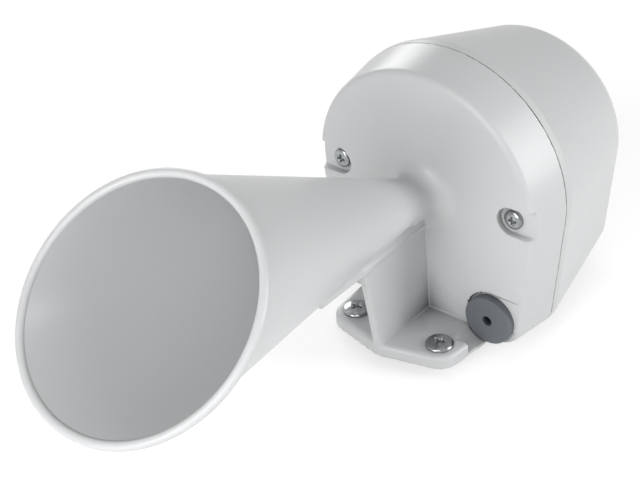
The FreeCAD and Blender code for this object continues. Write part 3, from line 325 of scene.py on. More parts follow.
def horn_distance(x, y, z, throat, mouth):
    """Distance to the ruled cone from the upright throat to the sloping mouth."""
    centre_y = THROAT_START
    centre_z = AXIS_HEIGHT
    way_y = -MOUTH_FORWARD - centre_y
    way_z = MOUTH_HEIGHT - centre_z
    up_y = mouth * math.cos(MOUTH_SLOPE)
    up_z = mouth * math.sin(MOUTH_SLOPE) - throat
    # the share of the way at which the section through the place lies solves a quadratic
    q_y = y - centre_y
    q_z = z - centre_z
    square = -(way_y * up_z - way_z * up_y)
    linear = q_y * up_z - q_z * up_y - way_y * throat
    plain = q_y * throat
    root = np.sqrt(np.maximum(linear ** 2 - 4 * square * plain, 0))
    share = np.clip((root - linear) / (2 * square), -0.05, 1.3)
    axis_y = up_y * share
    axis_z = throat + up_z * share
    high = np.hypot(axis_y, axis_z)
    rise = ((q_y - way_y * share) * axis_y + (q_z - way_z * share) * axis_z) / high
    wide = throat + (mouth - throat) * share
    reach = np.hypot(x / wide, rise / high)
    flat = np.hypot(x, rise)
    edge = flat / np.maximum(reach, 1e-6)
    return np.where(reach > 1e-3, flat - edge, -np.minimum(wide, high)) * HORN_COSINE


def mouth_distance(y, z):
    """Distance in front of the mouth's plane."""
    return -(y + MOUTH_FORWARD) * math.sin(MOUTH_SLOPE) + (z - MOUTH_HEIGHT) * math.cos(MOUTH_SLOPE)


def polygon_distance(u, v, corners):
    """Distance to a closed outline of straight lines."""
    best = np.full(np.broadcast(u, v).shape, 1e18)
    inside = np.zeros(np.broadcast(u, v).shape, bool)
    for number, (au, av) in enumerate(corners):
        bu, bv = corners[number - 1]
        edge_u = bu - au
        edge_v = bv - av
        place = np.clip(((u - au) * edge_u + (v - av) * edge_v) / (edge_u ** 2 + edge_v ** 2), 0, 1)
        best = np.minimum(best, (u - au - edge_u * place) ** 2 + (v - av - edge_v * place) ** 2)
        crosses = (av > v) != (bv > v)
        if bv != av:
            inside ^= crosses & (u < (bu - au) * (v - av) / (bv - av) + au)
    return np.where(inside, -1, 1) * np.sqrt(best)


def front_shell(x, y, z):
    """The front shell with horn, neck, fin, web and flange."""
    share = np.clip((y - FACE_DEPTH) / SEAM_DEPTH, -0.1, 1.05)
    wall = belt(x, z, between(FACE_WHEELS, SEAM_WHEELS, share)) * DRUM_COSINE
    drum = round_common(wall, FACE_DEPTH - y, EDGE_ROUND)
    drum = round_common(drum, y - SEAM + SEAM_GAP, SEAM_BREAK)
    seat = belt(x - GROMMET_SIDE, z - GROMMET_HEIGHT, [
        (0, -SEAT_DROP, SEAT_RADIUS),
        (SEAT_REACH, -SEAT_DROP, SEAT_RADIUS),
        (SEAT_REACH, 0, SEAT_RADIUS),
        (0, 0, SEAT_RADIUS),
    ])
    seat = round_common(seat, y - FACE_DEPTH - SEAT_DEPTH, SEAT_ROUND)
    drum = round_cut(drum, seat, SEAT_EDGE)

    rear_side = FLANGE_REAR_HALF - FLANGE_REAR_ROUND
    flange_back = FACE_DEPTH + FRONT_WALL
    plan = belt(x, y, [
        (0, FLANGE_NOSE - FLANGE_FRONT, FLANGE_NOSE),
        (MOUNT_HALF_SPACING, 0, FLANGE_LOBE),
        (rear_side, flange_back - FLANGE_REAR_ROUND, FLANGE_REAR_ROUND),
        (-rear_side, flange_back - FLANGE_REAR_ROUND, FLANGE_REAR_ROUND),
        (-MOUNT_HALF_SPACING, 0, FLANGE_LOBE),
    ])
    flange = round_common(plan, z - FLANGE_THICKNESS, FLANGE_EDGE_ROUND)
    flange = round_common(flange, -z, FLANGE_FOOT_ROUND)

    web_top = FIN_FOOT + FIN_RISE
    share = (z - FLANGE_THICKNESS) / (web_top - FLANGE_THICKNESS)
    web_half = WEB_FOOT_HALF + (WEB_TOP_HALF - WEB_FOOT_HALF) * share
    web_front = -(WEB_FOOT_FORWARD + (WEB_TOP_FORWARD - WEB_FOOT_FORWARD) * share)
    web = round_common(np.abs(x) - web_half, (web_front - y) * WEB_COSINE, WEB_EDGE)
    web = np.maximum(web, np.maximum(slab(z, WEB_BASE, web_top), y - FACE_DEPTH - OVERLAP))

    fin = polygon_distance(y, z, [
        (-FIN_REACH, FIN_FOOT),
        (-WEB_TOP_FORWARD, FIN_FOOT),
        (-WEB_FOOT_FORWARD, web_top),
        (FACE_DEPTH + OVERLAP, web_top),
        (FACE_DEPTH + OVERLAP, AXIS_HEIGHT),
        (-FIN_REACH - FIN_SLANT, AXIS_HEIGHT),
        (-FIN_REACH - FIN_RISE / 2, FIN_FOOT + FIN_RISE),
    ])
    fin = round_common(fin, np.abs(x) - FIN_HALF, FIN_EDGE)

    horn = horn_distance(x, y, z, THROAT_BORE + THROAT_WALL, MOUTH_RADIUS)
    horn = np.maximum(horn, np.maximum(mouth_distance(y, z), y - FACE_DEPTH - OVERLAP))
    stub = np.maximum(tube(x, z, 0, AXIS_HEIGHT, NECK_RADIUS), slab(y, STUB_FRONT, FACE_DEPTH + OVERLAP))
    horn = round_union(horn, stub, STUB_ROUND)

    leg = round_union(web, flange, WEB_ROUND)
    leg = round_union(leg, drum, WEB_ROUND)
    leg = round_union(leg, fin, FIN_WEB_ROUND)
    whole = round_union(leg, horn, FIN_HORN_ROUND)
    neck = round_union(drum, horn, NECK_ROUND)
    whole = np.minimum(whole, neck)

    hollow = np.maximum(wall + HOUSING_WALL, FACE_DEPTH + FRONT_WALL - y)
    blocks = np.maximum(
        np.abs(np.abs(x) - BOSS_MIDDLE) - BOSS_HALF_WIDTH,
        np.abs(z - AXIS_HEIGHT) - BOSS_HALF_HEIGHT,
    )
    blocks = np.maximum(blocks, y - FACE_DEPTH - POCKET_DEPTH - BOSS_FLOOR)
    hollow = round_common(hollow, -blocks, BOSS_ROUND)
    whole = round_cut(whole, hollow, RIM_ROUND)
    throat = np.maximum(tube(x, z, 0, AXIS_HEIGHT, THROAT_BORE), slab(y, *THROAT_CUT))
    whole = round_cut(whole, throat, THROAT_EDGE)

    slot_end = FACE_RADIUS + POCKET_RADIUS
    slot = belt(np.abs(x), z, [
        (COVER_HALF_SPACING, AXIS_HEIGHT, POCKET_RADIUS),
        (slot_end, AXIS_HEIGHT, POCKET_RADIUS),
    ])
    slot = round_common(slot, y - FACE_DEPTH - POCKET_DEPTH, POCKET_ROUND)
    whole = round_cut(whole, slot, POCKET_EDGE)
    hole = tube(np.abs(x), z, COVER_HALF_SPACING, AXIS_HEIGHT, COVER_SHANK + SCREW_CLEARANCE)
    whole = np.maximum(whole, -np.maximum(hole, SHELL_HOLE_FRONT - y))

    relief = tube(x, z, GROMMET_SIDE, GROMMET_HEIGHT, SEAT_RADIUS)
    relief = round_common(relief, RELIEF_FRONT - y, RELIEF_ROUND)
    relief = np.maximum(relief, y - FACE_DEPTH - SEAT_DEPTH)
    whole = round_cut(whole, relief, RELIEF_EDGE)
    entry = tube(x, z, GROMMET_SIDE, GROMMET_HEIGHT, GROMMET_NECK + SCREW_CLEARANCE)
    whole = np.maximum(whole, -np.maximum(entry, ENTRY_FRONT - y))

    mount = tube(np.abs(x), y, MOUNT_HALF_SPACING, 0, MOUNT_HOLE)
    mount = np.maximum(mount, z - FLANGE_THICKNESS - OVERLAP)
    return np.maximum(whole, -mount)


def rear_cover(x, y, z):
    """The deep tapered cover with its posts."""
    share = np.clip((y - COLLAR_END) / (COVER_BACK - COLLAR_END), 0, 1.05)
    wall = belt(x, z, between(SEAM_WHEELS, BACK_WHEELS, share)) * COVER_COSINE
    outer = round_common(wall, y - COVER_BACK, REAR_ROUND)
    outer = round_common(outer, SEAM + SEAM_GAP - y, SEAM_BREAK)
    inner = round_common(wall + HOUSING_WALL, y - COVER_BACK + REAR_WALL, REAR_ROUND - REAR_WALL)
    post = tube(np.abs(x), z, COVER_HALF_SPACING, AXIS_HEIGHT, POST_RADIUS)
    post = np.maximum(post, slab(y, POST_FRONT, POST_BACK))
    rib = np.maximum(np.abs(z - AXIS_HEIGHT) - RIB_HALF, slab(y, COLLAR_END, POST_BACK))
    rib = np.maximum(rib, COVER_HALF_SPACING - np.abs(x))
    rib = np.maximum(rib, wall + POST_INSET)
    carrier = tube(np.abs(x), np.abs(z - CARRIER_MIDDLE), CARRIER_SIDE, CARRIER_RISE, CARRIER_RADIUS)
    carrier = np.maximum(carrier, np.maximum(SEAM + CARRIER_SETBACK - y, y - COVER_BACK + POST_INSET))
    whole = round_cut(outer, inner, RIM_ROUND)
    whole = round_union(whole, rib, RIB_ROUND)
    whole = round_union(whole, carrier, RIB_ROUND)
    whole = np.minimum(whole, post)
    screw = tube(np.abs(x), z, COVER_HALF_SPACING, AXIS_HEIGHT, COVER_SHANK + SCREW_CLEARANCE)
    screw = np.maximum(screw, y - FACE_DEPTH - POCKET_DEPTH - COVER_SHANK_LENGTH - 0.5)
    pilot = tube(np.abs(x), np.abs(z - CARRIER_MIDDLE), CARRIER_SIDE, CARRIER_RISE, PILOT_RADIUS)
    pilot = np.maximum(pilot, y - SEAM - PILOT_SETBACK)
    whole = np.maximum(whole, -screw)
    return np.maximum(whole, -pilot)


def cross_recess(u, v, depth, half_length, half_width, bottom):
    """A tapered cross recess that goes down from depth 0 to the bottom."""
    share = np.clip(depth / bottom, -0.3, 1)
    arm = half_length * (1 - RECESS_ARM_TAPER * share)
    web = half_width * (1 - RECESS_WEB_TAPER * share)
    one = round_common(np.abs(u) - arm, np.abs(v) - web, RECESS_ROUND)
    two = round_common(np.abs(v) - arm, np.abs(u) - web, RECESS_ROUND)
    cone = np.hypot(u, v) - half_length * RECESS_CONE * (1 - RECESS_CONE_TAPER * share)
    return np.maximum(np.minimum(np.minimum(one, two), cone), depth - bottom)


def pan_head(u, v, depth, radius, height, recess_size):
    """A pan head whose seat lies at depth equal to its height, with a cross recess."""
    crown = HEAD_CROWN * radius
    dome = np.sqrt(u ** 2 + v ** 2 + (depth - crown) ** 2) - crown
    head = round_common(np.hypot(u, v) - radius, -depth, HEAD_EDGE)
    head = round_common(head, dome, HEAD_CROWN_EDGE)
    head = np.maximum(head, depth - height)
    recess = cross_recess(u, v, depth, *recess_size, RECESS_DEPTH)
    return round_cut(head, recess, RECESS_EDGE)


def shank(u, v, depth, radius, low, high, pitch):
    """A threaded shank: a rounded ridge that winds around a core."""
    angle = np.arctan2(v, u)
    wave = np.cos(2 * np.pi * depth / pitch - angle)
    body = np.hypot(u, v) - radius + THREAD_DEPTH * pitch * (1 - wave)
    return np.maximum(body * THREAD_COSINE, slab(depth, low, high))


def mount_screw(x, y, z):
    """A pan-head machine screw that points down, about its own axis."""
    depth = FLANGE_THICKNESS + MOUNT_HEAD_HEIGHT - z
    head = pan_head(x, y, depth, MOUNT_HEAD, MOUNT_HEAD_HEIGHT, MOUNT_RECESS)
    middle = MOUNT_HEAD_HEIGHT + FLANGE_THICKNESS
    plain = np.maximum(np.hypot(x, y) - MOUNT_SHANK, slab(depth, SHANK_START * MOUNT_HEAD_HEIGHT, middle))
    thread = shank(x, y, depth, MOUNT_THREAD, middle - 0.2, middle + MOUNT_REACH, MOUNT_PITCH)
    return np.minimum(np.minimum(head, plain), thread)


def cover_screw(x, y, z):
    """A pan-head tapping screw that points backwards, about its own axis."""
    depth = y - (FACE_DEPTH + POCKET_DEPTH - COVER_HEAD_HEIGHT)
    head = pan_head(x, z, depth, COVER_HEAD, COVER_HEAD_HEIGHT, COVER_RECESS)
    start = SHANK_START * COVER_HEAD_HEIGHT
    end = COVER_HEAD_HEIGHT + COVER_SHANK_LENGTH
    return np.minimum(head, shank(x, z, depth, COVER_SHANK, start, end, COVER_PITCH))


# Meshing

def slopes(field, places):
    """The field's gradient at the places."""
    result = np.empty_like(places)
    for axis in range(3):
        forth = places.copy()
        back = places.copy()
        forth[:, axis] += SLOPE_STEP
        back[:, axis] -= SLOPE_STEP
        result[:, axis] = (field(*forth.T) - field(*back.T)) / (2 * SLOPE_STEP)
    return result


def lines(start, *runs):
    """Grid lines from start through runs of (end, step)."""
    places = [np.array([start])]
    for end, step in runs:
        count = max(1, round((end - start) / step))
        places.append(np.linspace(start, end, count + 1)[1:])
        start = end
    return np.concatenate(places)


def net(field, grid, hidden=None):
    """Vertices, normals and quads of a field's zero surface over grid lines in x, y and z.

    Each cell that the surface passes through gets one vertex, which is then pulled onto the surface. Quads
    that lie wholly where hidden is true are left out.
    """
    values = np.empty([len(line) for line in grid], np.float32)
    for number, x in enumerate(grid[0]):
        values[number] = field(np.full((1, 1), x), grid[1][:, None], grid[2][None, :])
    counts = values.shape
    inside = values < 0
    cells = []
    places = []
    quads_at = []
    flips = []
    for axis in range(3):
        first = [slice(None)] * 3
        last = [slice(None)] * 3
        first[axis] = slice(None, -1)
        last[axis] = slice(1, None)
        crossed = inside[tuple(first)] != inside[tuple(last)]
        spot = np.argwhere(crossed)
        one = values[tuple(first)][crossed]
        two = values[tuple(last)][crossed]
        share = one / (one - two)
        place = np.stack([grid[line][spot[:, line]] for line in range(3)], 1)
        place[:, axis] += share * (grid[axis][spot[:, axis] + 1] - grid[axis][spot[:, axis]])
        side = (axis + 1) % 3
        other = (axis + 2) % 3
        around = []
        for back_side, back_other in ((1, 1), (0, 1), (0, 0), (1, 0)):
            cell = spot.copy()
            cell[:, side] -= back_side
            cell[:, other] -= back_other
            around.append((cell[:, 0] * counts[1] + cell[:, 1]) * counts[2] + cell[:, 2])
            cells.append(around[-1])
            places.append(place)
        quads_at.append(np.stack(around, 1))
        flips.append(one > two)
    names, lookup = np.unique(np.concatenate(cells), return_inverse=True)
    places = np.concatenate(places)
    weight = np.bincount(lookup, minlength=len(names))
    vertices = np.stack([np.bincount(lookup, places[:, axis], len(names)) / weight for axis in range(3)], 1)
    quads = np.searchsorted(names, np.concatenate(quads_at))
    flipped = np.concatenate(flips)
    quads[flipped] = quads[flipped][:, ::-1]
    corner = np.stack(np.unravel_index(names, counts), 1)
    low = np.stack([grid[axis][corner[:, axis]] for axis in range(3)], 1)
    high = np.stack([grid[axis][np.minimum(corner[:, axis] + 1, counts[axis] - 1)] for axis in range(3)], 1)
    spare = 0.25 * (high - low)
    for _ in range(PULLS):
        slope = slopes(field, vertices)
        value = field(*vertices.T)
        vertices -= (value / np.maximum((slope ** 2).sum(1), 0.1))[:, None] * slope
        vertices = np.clip(vertices, low - spare, high + spare)
    normals = slopes(field, vertices)
    normals /= np.maximum(np.linalg.norm(normals, axis=1), 1e-9)[:, None]
    if hidden is not None:
        quads = quads[~hidden(*vertices.T)[quads].all(1)]
    return vertices, normals, quads


def make_mesh(name, vertices, normals, quads):
    """A mesh object in metres, smooth, with the field's own normals."""
    mesh = bpy.data.meshes.new(name)
    mesh.vertices.add(len(vertices))
    mesh.vertices.foreach_set("co", (vertices * MM).astype(np.float32).ravel())
    mesh.loops.add(len(quads) * 4)
    mesh.loops.foreach_set("vertex_index", quads.astype(np.int32).ravel())
    mesh.polygons.add(len(quads))
    mesh.polygons.foreach_set("loop_start", np.arange(0, len(quads) * 4, 4, dtype=np.int32))
    mesh.update(calc_edges=True)
    mesh.validate()
    mesh.polygons.foreach_set("use_smooth", np.ones(len(mesh.polygons), bool))
    mesh.normals_split_custom_set_from_vertices(normals.tolist())
    piece = bpy.data.objects.new(name, mesh)
    bpy.context.scene.collection.objects.link(piece)
    return piece


def mesh_field(name, field, low, high, step):
    """A piece meshed from a field between two corners."""
    return make_mesh(name, *net(field, [lines(low[axis], (high[axis], step)) for axis in range(3)]))


def lathe(name, profile, place, steps=96):
    """A piece turned about an axis along Y. The profile gives (depth, radius) in millimetres."""
    vertices = []
    faces = []
    count = len(profile)
    for number in range(steps):
        angle = 2 * math.pi * number / steps
        for depth, radius in profile:
            vertices.append((
                (place[0] + radius * math.cos(angle)) * MM,
                depth * MM,
                (place[1] + radius * math.sin(angle)) * MM,
            ))
    for number in range(steps):
        following = (number + 1) % steps
        for line in range(count):
            after = (line + 1) % count
            faces.append((
                number * count + line, number * count + after,
                following * count + after, following * count + line,
            ))
    mesh = bpy.data.meshes.new(name)
    mesh.from_pydata(vertices, [], faces)
    mesh.update()
    mesh.polygons.foreach_set("use_smooth", np.ones(len(mesh.polygons), bool))
    piece = bpy.data.objects.new(name, mesh)
    bpy.context.scene.collection.objects.link(piece)
    return piece


def arc_points(centre_depth, centre_radius, radius, start, end, steps=8):
    """Points of a rounding in a lathe profile, angles in degrees from the depth direction."""
    points = []
    for number in range(steps + 1):
        angle = math.radians(start + (end - start) * number / steps)
        points.append((centre_depth + radius * math.cos(angle), centre_radius + radius * math.sin(angle)))
    return points


# Materials

# Painted shade of hollows: the ambient occlusion shares below which it is fully dark and above which it is
# gone
PAINTED_SHADE_DARK_END = 0.12
PAINTED_SHADE_LIGHT_START = 0.5


def shader(name, color, roughness, metallic=0.0):
    """A material with a principled shader, and what is needed to add nodes to it."""
    material = bpy.data.materials.new(name)
    material.use_nodes = True
    nodes = material.node_tree.nodes
    links = material.node_tree.links
    surface = nodes["Principled BSDF"]
    surface.inputs["Base Color"].default_value = (*color, 1)
    surface.inputs["Roughness"].default_value = roughness
    surface.inputs["Metallic"].default_value = metallic
    return material, nodes, links, surface


def srgb(red, green, blue):
    """A colour written as screen values from 0 to 255."""
    result = []
    for value in (red, green, blue):
        value /= 255
        result.append(value / 12.92 if value <= 0.04045 else ((value + 0.055) / 1.055) ** 2.4)
    return tuple(result)


def noise(nodes, links, scale, detail, rough=0.5):
    """Noise in the object's own coordinates."""
    place = nodes.new("ShaderNodeTexCoord")
    texture = nodes.new("ShaderNodeTexNoise")
    texture.inputs["Scale"].default_value = scale
    texture.inputs["Detail"].default_value = detail
    texture.inputs["Roughness"].default_value = rough
    links.new(place.outputs["Object"], texture.inputs["Vector"])
    return texture


def vary(nodes, links, source, low, high, target):
    """Send a texture to a shader input, spread between two values."""
    spread = nodes.new("ShaderNodeMapRange")
    spread.inputs["From Min"].default_value = 0.3
    spread.inputs["From Max"].default_value = 0.7
    spread.inputs["To Min"].default_value = low
    spread.inputs["To Max"].default_value = high
    links.new(source, spread.inputs["Value"])
    links.new(spread.outputs["Result"], target)


def tint(nodes, links, source, dark, light, target):
    """Send a texture to a colour input as a mix of two colours."""
    ramp = nodes.new("ShaderNodeValToRGB")
    ramp.color_ramp.elements[0].position = 0.35
    ramp.color_ramp.elements[0].color = (*dark, 1)
    ramp.color_ramp.elements[1].position = 0.65
    ramp.color_ramp.elements[1].color = (*light, 1)
    links.new(source, ramp.inputs["Fac"])
    links.new(ramp.outputs["Color"], target)


def bump(nodes, links, source, surface, strength, distance):
    """Send a texture to a shader's normal as a slight relief, its distance in metres."""
    relief = nodes.new("ShaderNodeBump")
    relief.inputs["Strength"].default_value = strength
    relief.inputs["Distance"].default_value = distance
    links.new(source, relief.inputs["Height"])
    links.new(relief.outputs["Normal"], surface.inputs["Normal"])


def paint_hollow_shade(nodes, links, reach, dark, light, target):
    """Send a colour to a colour input as painted shade from ambient occlusion: the light one in the open, the
    dark one deep in a hollow.

    The reach is in metres.
    """
    shade = nodes.new("ShaderNodeAmbientOcclusion")
    shade.inputs["Distance"].default_value = reach
    shade.samples = 8
    ramp = nodes.new("ShaderNodeValToRGB")
    ramp.color_ramp.interpolation = "EASE"
    ramp.color_ramp.elements[0].position = PAINTED_SHADE_DARK_END
    ramp.color_ramp.elements[0].color = (*dark, 1)
    ramp.color_ramp.elements[1].position = PAINTED_SHADE_LIGHT_START
    ramp.color_ramp.elements[1].color = (*light, 1)
    links.new(shade.outputs["AO"], ramp.inputs["Fac"])
    links.new(ramp.outputs["Color"], target)


def plastic_material():
    """Glossy light grey ABS with the faint waviness of a moulding, and painted shade that darkens its
    hollows, creases and screw pockets.
    """
    # The dark colour is painted shade deep in hollows; the light one is the plastic's own colour
    dark = srgb(52, 53, 55)
    light = srgb(201, 202, 203)
    material, nodes, links, surface = shader("housing_plastic", light, 0.32)
    surface.inputs["IOR"].default_value = 1.5
    surface.inputs["Specular IOR Level"].default_value = 0.5
    paint_hollow_shade(nodes, links, 0.022, dark, light, surface.inputs["Base Color"])
    grain = noise(nodes, links, 260.0, 4.0, 0.6)
    vary(nodes, links, grain.outputs["Fac"], 0.29, 0.35, surface.inputs["Roughness"])
    peel = noise(nodes, links, 120.0, 1.0)
    bump(nodes, links, peel.outputs["Fac"], surface, 0.04, 0.0002)
    return material


def rubber_shader(name, color):
    """Matt rubber, and the noise that speckles it."""
    material, nodes, links, surface = shader(name, color, 0.62)
    speckle = noise(nodes, links, 900.0, 4.0, 0.7).outputs["Fac"]
    vary(nodes, links, speckle, 0.5, 0.7, surface.inputs["Roughness"])
    bump(nodes, links, speckle, surface, 0.3, 0.0001)
    return material, nodes, links, surface, speckle


def black_rubber_material():
    """Black rubber with a fine speckle."""
    dark = srgb(24, 25, 27)
    light = srgb(34, 36, 38)
    material, nodes, links, surface, speckle = rubber_shader("black_rubber", light)
    tint(nodes, links, speckle, dark, light, surface.inputs["Base Color"])
    return material


def grey_rubber_material():
    """Grey rubber, with painted shade that darkens it inside the cable hole."""
    # The dark colour is painted shade inside the cable hole; the light one is the rubber's own colour
    dark = srgb(14, 15, 16)
    light = srgb(97, 102, 107)
    material, nodes, links, surface, _ = rubber_shader("grey_rubber", light)
    paint_hollow_shade(nodes, links, 0.007, dark, light, surface.inputs["Base Color"])
    return material


def metal_material(name, dark, light, roughness):
    """Plated metal with a slightly uneven sheen."""
    material, nodes, links, surface = shader(name, light, roughness, 1.0)
    cloud = noise(nodes, links, 600.0, 5.0, 0.65)
    tint(nodes, links, cloud.outputs["Fac"], dark, light, surface.inputs["Base Color"])
    vary(nodes, links, cloud.outputs["Fac"], roughness * 0.75, roughness * 1.3, surface.inputs["Roughness"])
    bump(nodes, links, cloud.outputs["Fac"], surface, 0.15, 0.00005)
    return material


def plain_material(name, dark, light, roughness, scale=300.0):
    """Matt or glossy plastic, lacquer or laminate with a faint mottle."""
    material, nodes, links, surface = shader(name, light, roughness)
    cloud = noise(nodes, links, scale, 4.0, 0.6)
    tint(nodes, links, cloud.outputs["Fac"], dark, light, surface.inputs["Base Color"])
    vary(nodes, links, cloud.outputs["Fac"], roughness * 0.85, roughness * 1.15, surface.inputs["Roughness"])
    bump(nodes, links, cloud.outputs["Fac"], surface, 0.1, 0.0001)
    return material


MATERIALS = {
    "housing_plastic": plastic_material(),
    "black_rubber": black_rubber_material(),
    "grey_rubber": grey_rubber_material(),
    "zinc_steel": metal_material("zinc_steel", srgb(138, 141, 142), srgb(174, 177, 178), 0.16),
    "black_plastic": plain_material("black_plastic", srgb(26, 27, 29), srgb(36, 37, 39), 0.5),
    "film_plastic": plain_material("film_plastic", srgb(184, 148, 78), srgb(200, 165, 95), 0.34),
    "copper_wire": metal_material("copper_wire", srgb(150, 84, 50), srgb(184, 112, 66), 0.4),
    "ferrite": plain_material("ferrite", srgb(38, 39, 41), srgb(52, 53, 55), 0.6, 800.0),
    "tinned_brass": metal_material("tinned_brass", srgb(196, 190, 168), srgb(216, 211, 193), 0.4),
    "board_laminate": plain_material("board_laminate", srgb(38, 92, 58), srgb(50, 112, 70), 0.35),
    "green_plastic": plain_material("green_plastic", srgb(34, 112, 76), srgb(46, 130, 90), 0.45),
    "can_aluminium": metal_material("can_aluminium", srgb(186, 189, 192), srgb(206, 208, 210), 0.4),
    "resistor_lacquer": plain_material("resistor_lacquer", srgb(196, 172, 128), srgb(212, 190, 148), 0.36),
    "red_plastic": plain_material("red_plastic", srgb(150, 32, 28), srgb(172, 42, 36), 0.4),
}


def dress(piece, slot, node):
    """Give a new piece its material and its body, and hide the CAD node that it stands for."""
    piece.data.materials.clear()
    piece.data.materials.append(MATERIALS[slot])
    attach(piece, "root")
    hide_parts(node)


# Pieces

def horn_inside():
    """Vertices, normals and quads of the horn's inner wall and of its rolled edge."""
    angle = np.linspace(0, 2 * np.pi, HORN_STEPS, endpoint=False)
    across = np.array((1.0, 0.0, 0.0))
    upward = np.array((0.0, math.cos(MOUTH_SLOPE), math.sin(MOUTH_SLOPE)))
    outward = np.array((0.0, -math.sin(MOUTH_SLOPE), math.cos(MOUTH_SLOPE)))
    centre = np.array((0.0, -MOUTH_FORWARD, MOUTH_HEIGHT))
    throat_centre = np.array((0.0, THROAT_START, AXIS_HEIGHT))
    round_throat = np.cos(angle)[:, None] * across + np.sin(angle)[:, None] * np.array((0.0, 0.0, 1.0))
    round_mouth = np.cos(angle)[:, None] * across + np.sin(angle)[:, None] * upward
    inner = MOUTH_RADIUS - HORN_WALL
    throat = throat_centre + THROAT_BORE * round_throat
    mouth = centre + inner * round_mouth
    turning_throat = np.roll(throat, -1, 0) - np.roll(throat, 1, 0)
    turning_mouth = np.roll(mouth, -1, 0) - np.roll(mouth, 1, 0)
    rows = []
    normals = []
    for share in np.linspace(0, 1, HORN_ROWS):
        rows.append(throat + (mouth - throat) * share)
        turning = turning_throat + (turning_mouth - turning_throat) * share
        normal = np.cross(mouth - throat, turning)
        normals.append(normal / np.linalg.norm(normal, axis=1)[:, None])
    ring = MOUTH_RADIUS + LIP_PROUD - LIP_RADIUS
    for tilt in np.radians(np.linspace(*LIP_TURN, LIP_ROWS)):
        way = round_mouth * math.cos(tilt) + outward * math.sin(tilt)
        rows.append(centre + ring * round_mouth + LIP_RADIUS * way)
        normals.append(way)
    axis_way = throat_centre - throat
    if (normals[0] * axis_way).sum() < 0:
        normals[:HORN_ROWS] = [-normal for normal in normals[:HORN_ROWS]]
    quads = []
    for row in range(len(rows) - 1):
        near = row * HORN_STEPS
        far = near + HORN_STEPS
        for step in range(HORN_STEPS):
            following = (step + 1) % HORN_STEPS
            quads.append((near + step, near + following, far + following, far + step))
    vertices = np.concatenate(rows)
    normals = np.concatenate(normals)
    quads = np.array(quads)
    first = vertices[quads[:, 0]]
    facing = np.cross(vertices[quads[:, 1]] - first, vertices[quads[:, 2]] - first)
    wrong = (facing * normals[quads[:, 0]]).sum(1) < 0
    quads[wrong] = quads[wrong][:, ::-1]
    return vertices, normals, quads


def inside_horn(x, y, z):
    """Whether a place on the solid horn lies on the caps that the hollow horn doesn't have.

    At the mouth that takes in the strip of the outer wall that the rolled edge covers.
    """
    bore = horn_distance(x, y, z, THROAT_BORE, MOUTH_RADIUS - HORN_WALL)
    mouth_cap = (mouth_distance(y, z) > -MOUTH_CAP_STRIP) & (y < MOUTH_CAP_BACK)
    throat_cap = (bore < -THROAT_CAP_INSET) & (y < THROAT_START)
    return mouth_cap | throat_cap


def make_front_shell():
    """The front shell with its horn. Grid lines are closest at the seam, the neck, the fin and the flange."""
    side = lines(0, (3.2, 0.4), (49.6, 0.86))
    grid = [
        np.concatenate([-side[:0:-1], side]),
        lines(-150.0, (-48, 1.5), (-40, 0.8), (-22, 1.3), (4, 0.8), (20, 0.55), (33.2, 1.2), (34.2, 0.1)),
        lines(-1.0, (6.4, 0.4), (36, 0.9), (41, 0.6), (113, 0.94)),
    ]
    moulding = net(front_shell, grid, inside_horn)
    horn = horn_inside()
    vertices = np.concatenate([moulding[0], horn[0]])
    normals = np.concatenate([moulding[1], horn[1]])
    quads = np.concatenate([moulding[2], horn[2] + len(moulding[0])])
    piece = make_mesh("front_shell_moulding", vertices, normals, quads)
    dress(piece, "housing_plastic", "horn_front_shell")


def make_rear_cover():
    """The rear cover. Grid lines are closest at the seam."""
    grid = [
        lines(-49.6, (49.6, 0.9)),
        lines(21.0, (33.4, 1.2), (34.6, 0.1), (40, 0.8), (80, 1.4), (93, 0.8)),
        lines(-1.0, (102, 0.9)),
    ]
    piece = make_mesh("rear_cover_moulding", *net(rear_cover, grid))
    dress(piece, "housing_plastic", "rear_cover")


def make_mount_screw(side, node):
    """A screw of the flange, with its thread and cross recess."""
    def field(x, y, z):
        return mount_screw(x - side, y, z)
    reach = MOUNT_HEAD + SCREW_MARGIN
    low = (side - reach, -reach, -MOUNT_REACH - SCREW_MARGIN)
    high = (side + reach, reach, 8.0)
    piece = mesh_field(node + "_detail", field, low, high, MOUNT_SCREW_STEP)
    dress(piece, "zinc_steel", node)


def make_cover_screw(side, node):
    """A screw of the rear cover, with its thread and cross recess."""
    def field(x, y, z):
        return cover_screw(x - side, y, z - AXIS_HEIGHT)
    reach = COVER_HEAD + SCREW_MARGIN
    end = FACE_DEPTH + POCKET_DEPTH + COVER_SHANK_LENGTH + SCREW_MARGIN
    low = (side - reach, FACE_DEPTH, AXIS_HEIGHT - reach)
    high = (side + reach, end, AXIS_HEIGHT + reach)
    piece = mesh_field(node + "_detail", field, low, high, COVER_SCREW_STEP)
    dress(piece, "zinc_steel", node)


def make_grommet():
    """The cable grommet, turned about its cable hole."""
    front = FACE_DEPTH - GROMMET_PROUD
    seat = FACE_DEPTH + SEAT_DEPTH
    inner = FACE_DEPTH + FRONT_WALL
    profile = [
        (inner + GROMMET_LIP_LENGTH, CABLE_BORE),
        (inner + GROMMET_LIP_LENGTH, GROMMET_LIP),
        (inner, GROMMET_LIP),
        (inner, GROMMET_NECK),
        (seat, GROMMET_NECK),
        (seat, GROMMET_RADIUS),
    ]
    profile += arc_points(front + GROMMET_EDGE, GROMMET_RADIUS - GROMMET_EDGE, GROMMET_EDGE, 90, 180)
    profile += arc_points(front + CABLE_EDGE, CABLE_BORE + CABLE_EDGE, CABLE_EDGE, 180, 270)
    piece = lathe("cable_grommet_detail", profile, (GROMMET_SIDE, GROMMET_HEIGHT))
    edges = piece.modifiers.new("edges", "EDGE_SPLIT")
    edges.split_angle = math.radians(40)
    dress(piece, "grey_rubber", "cable_grommet")


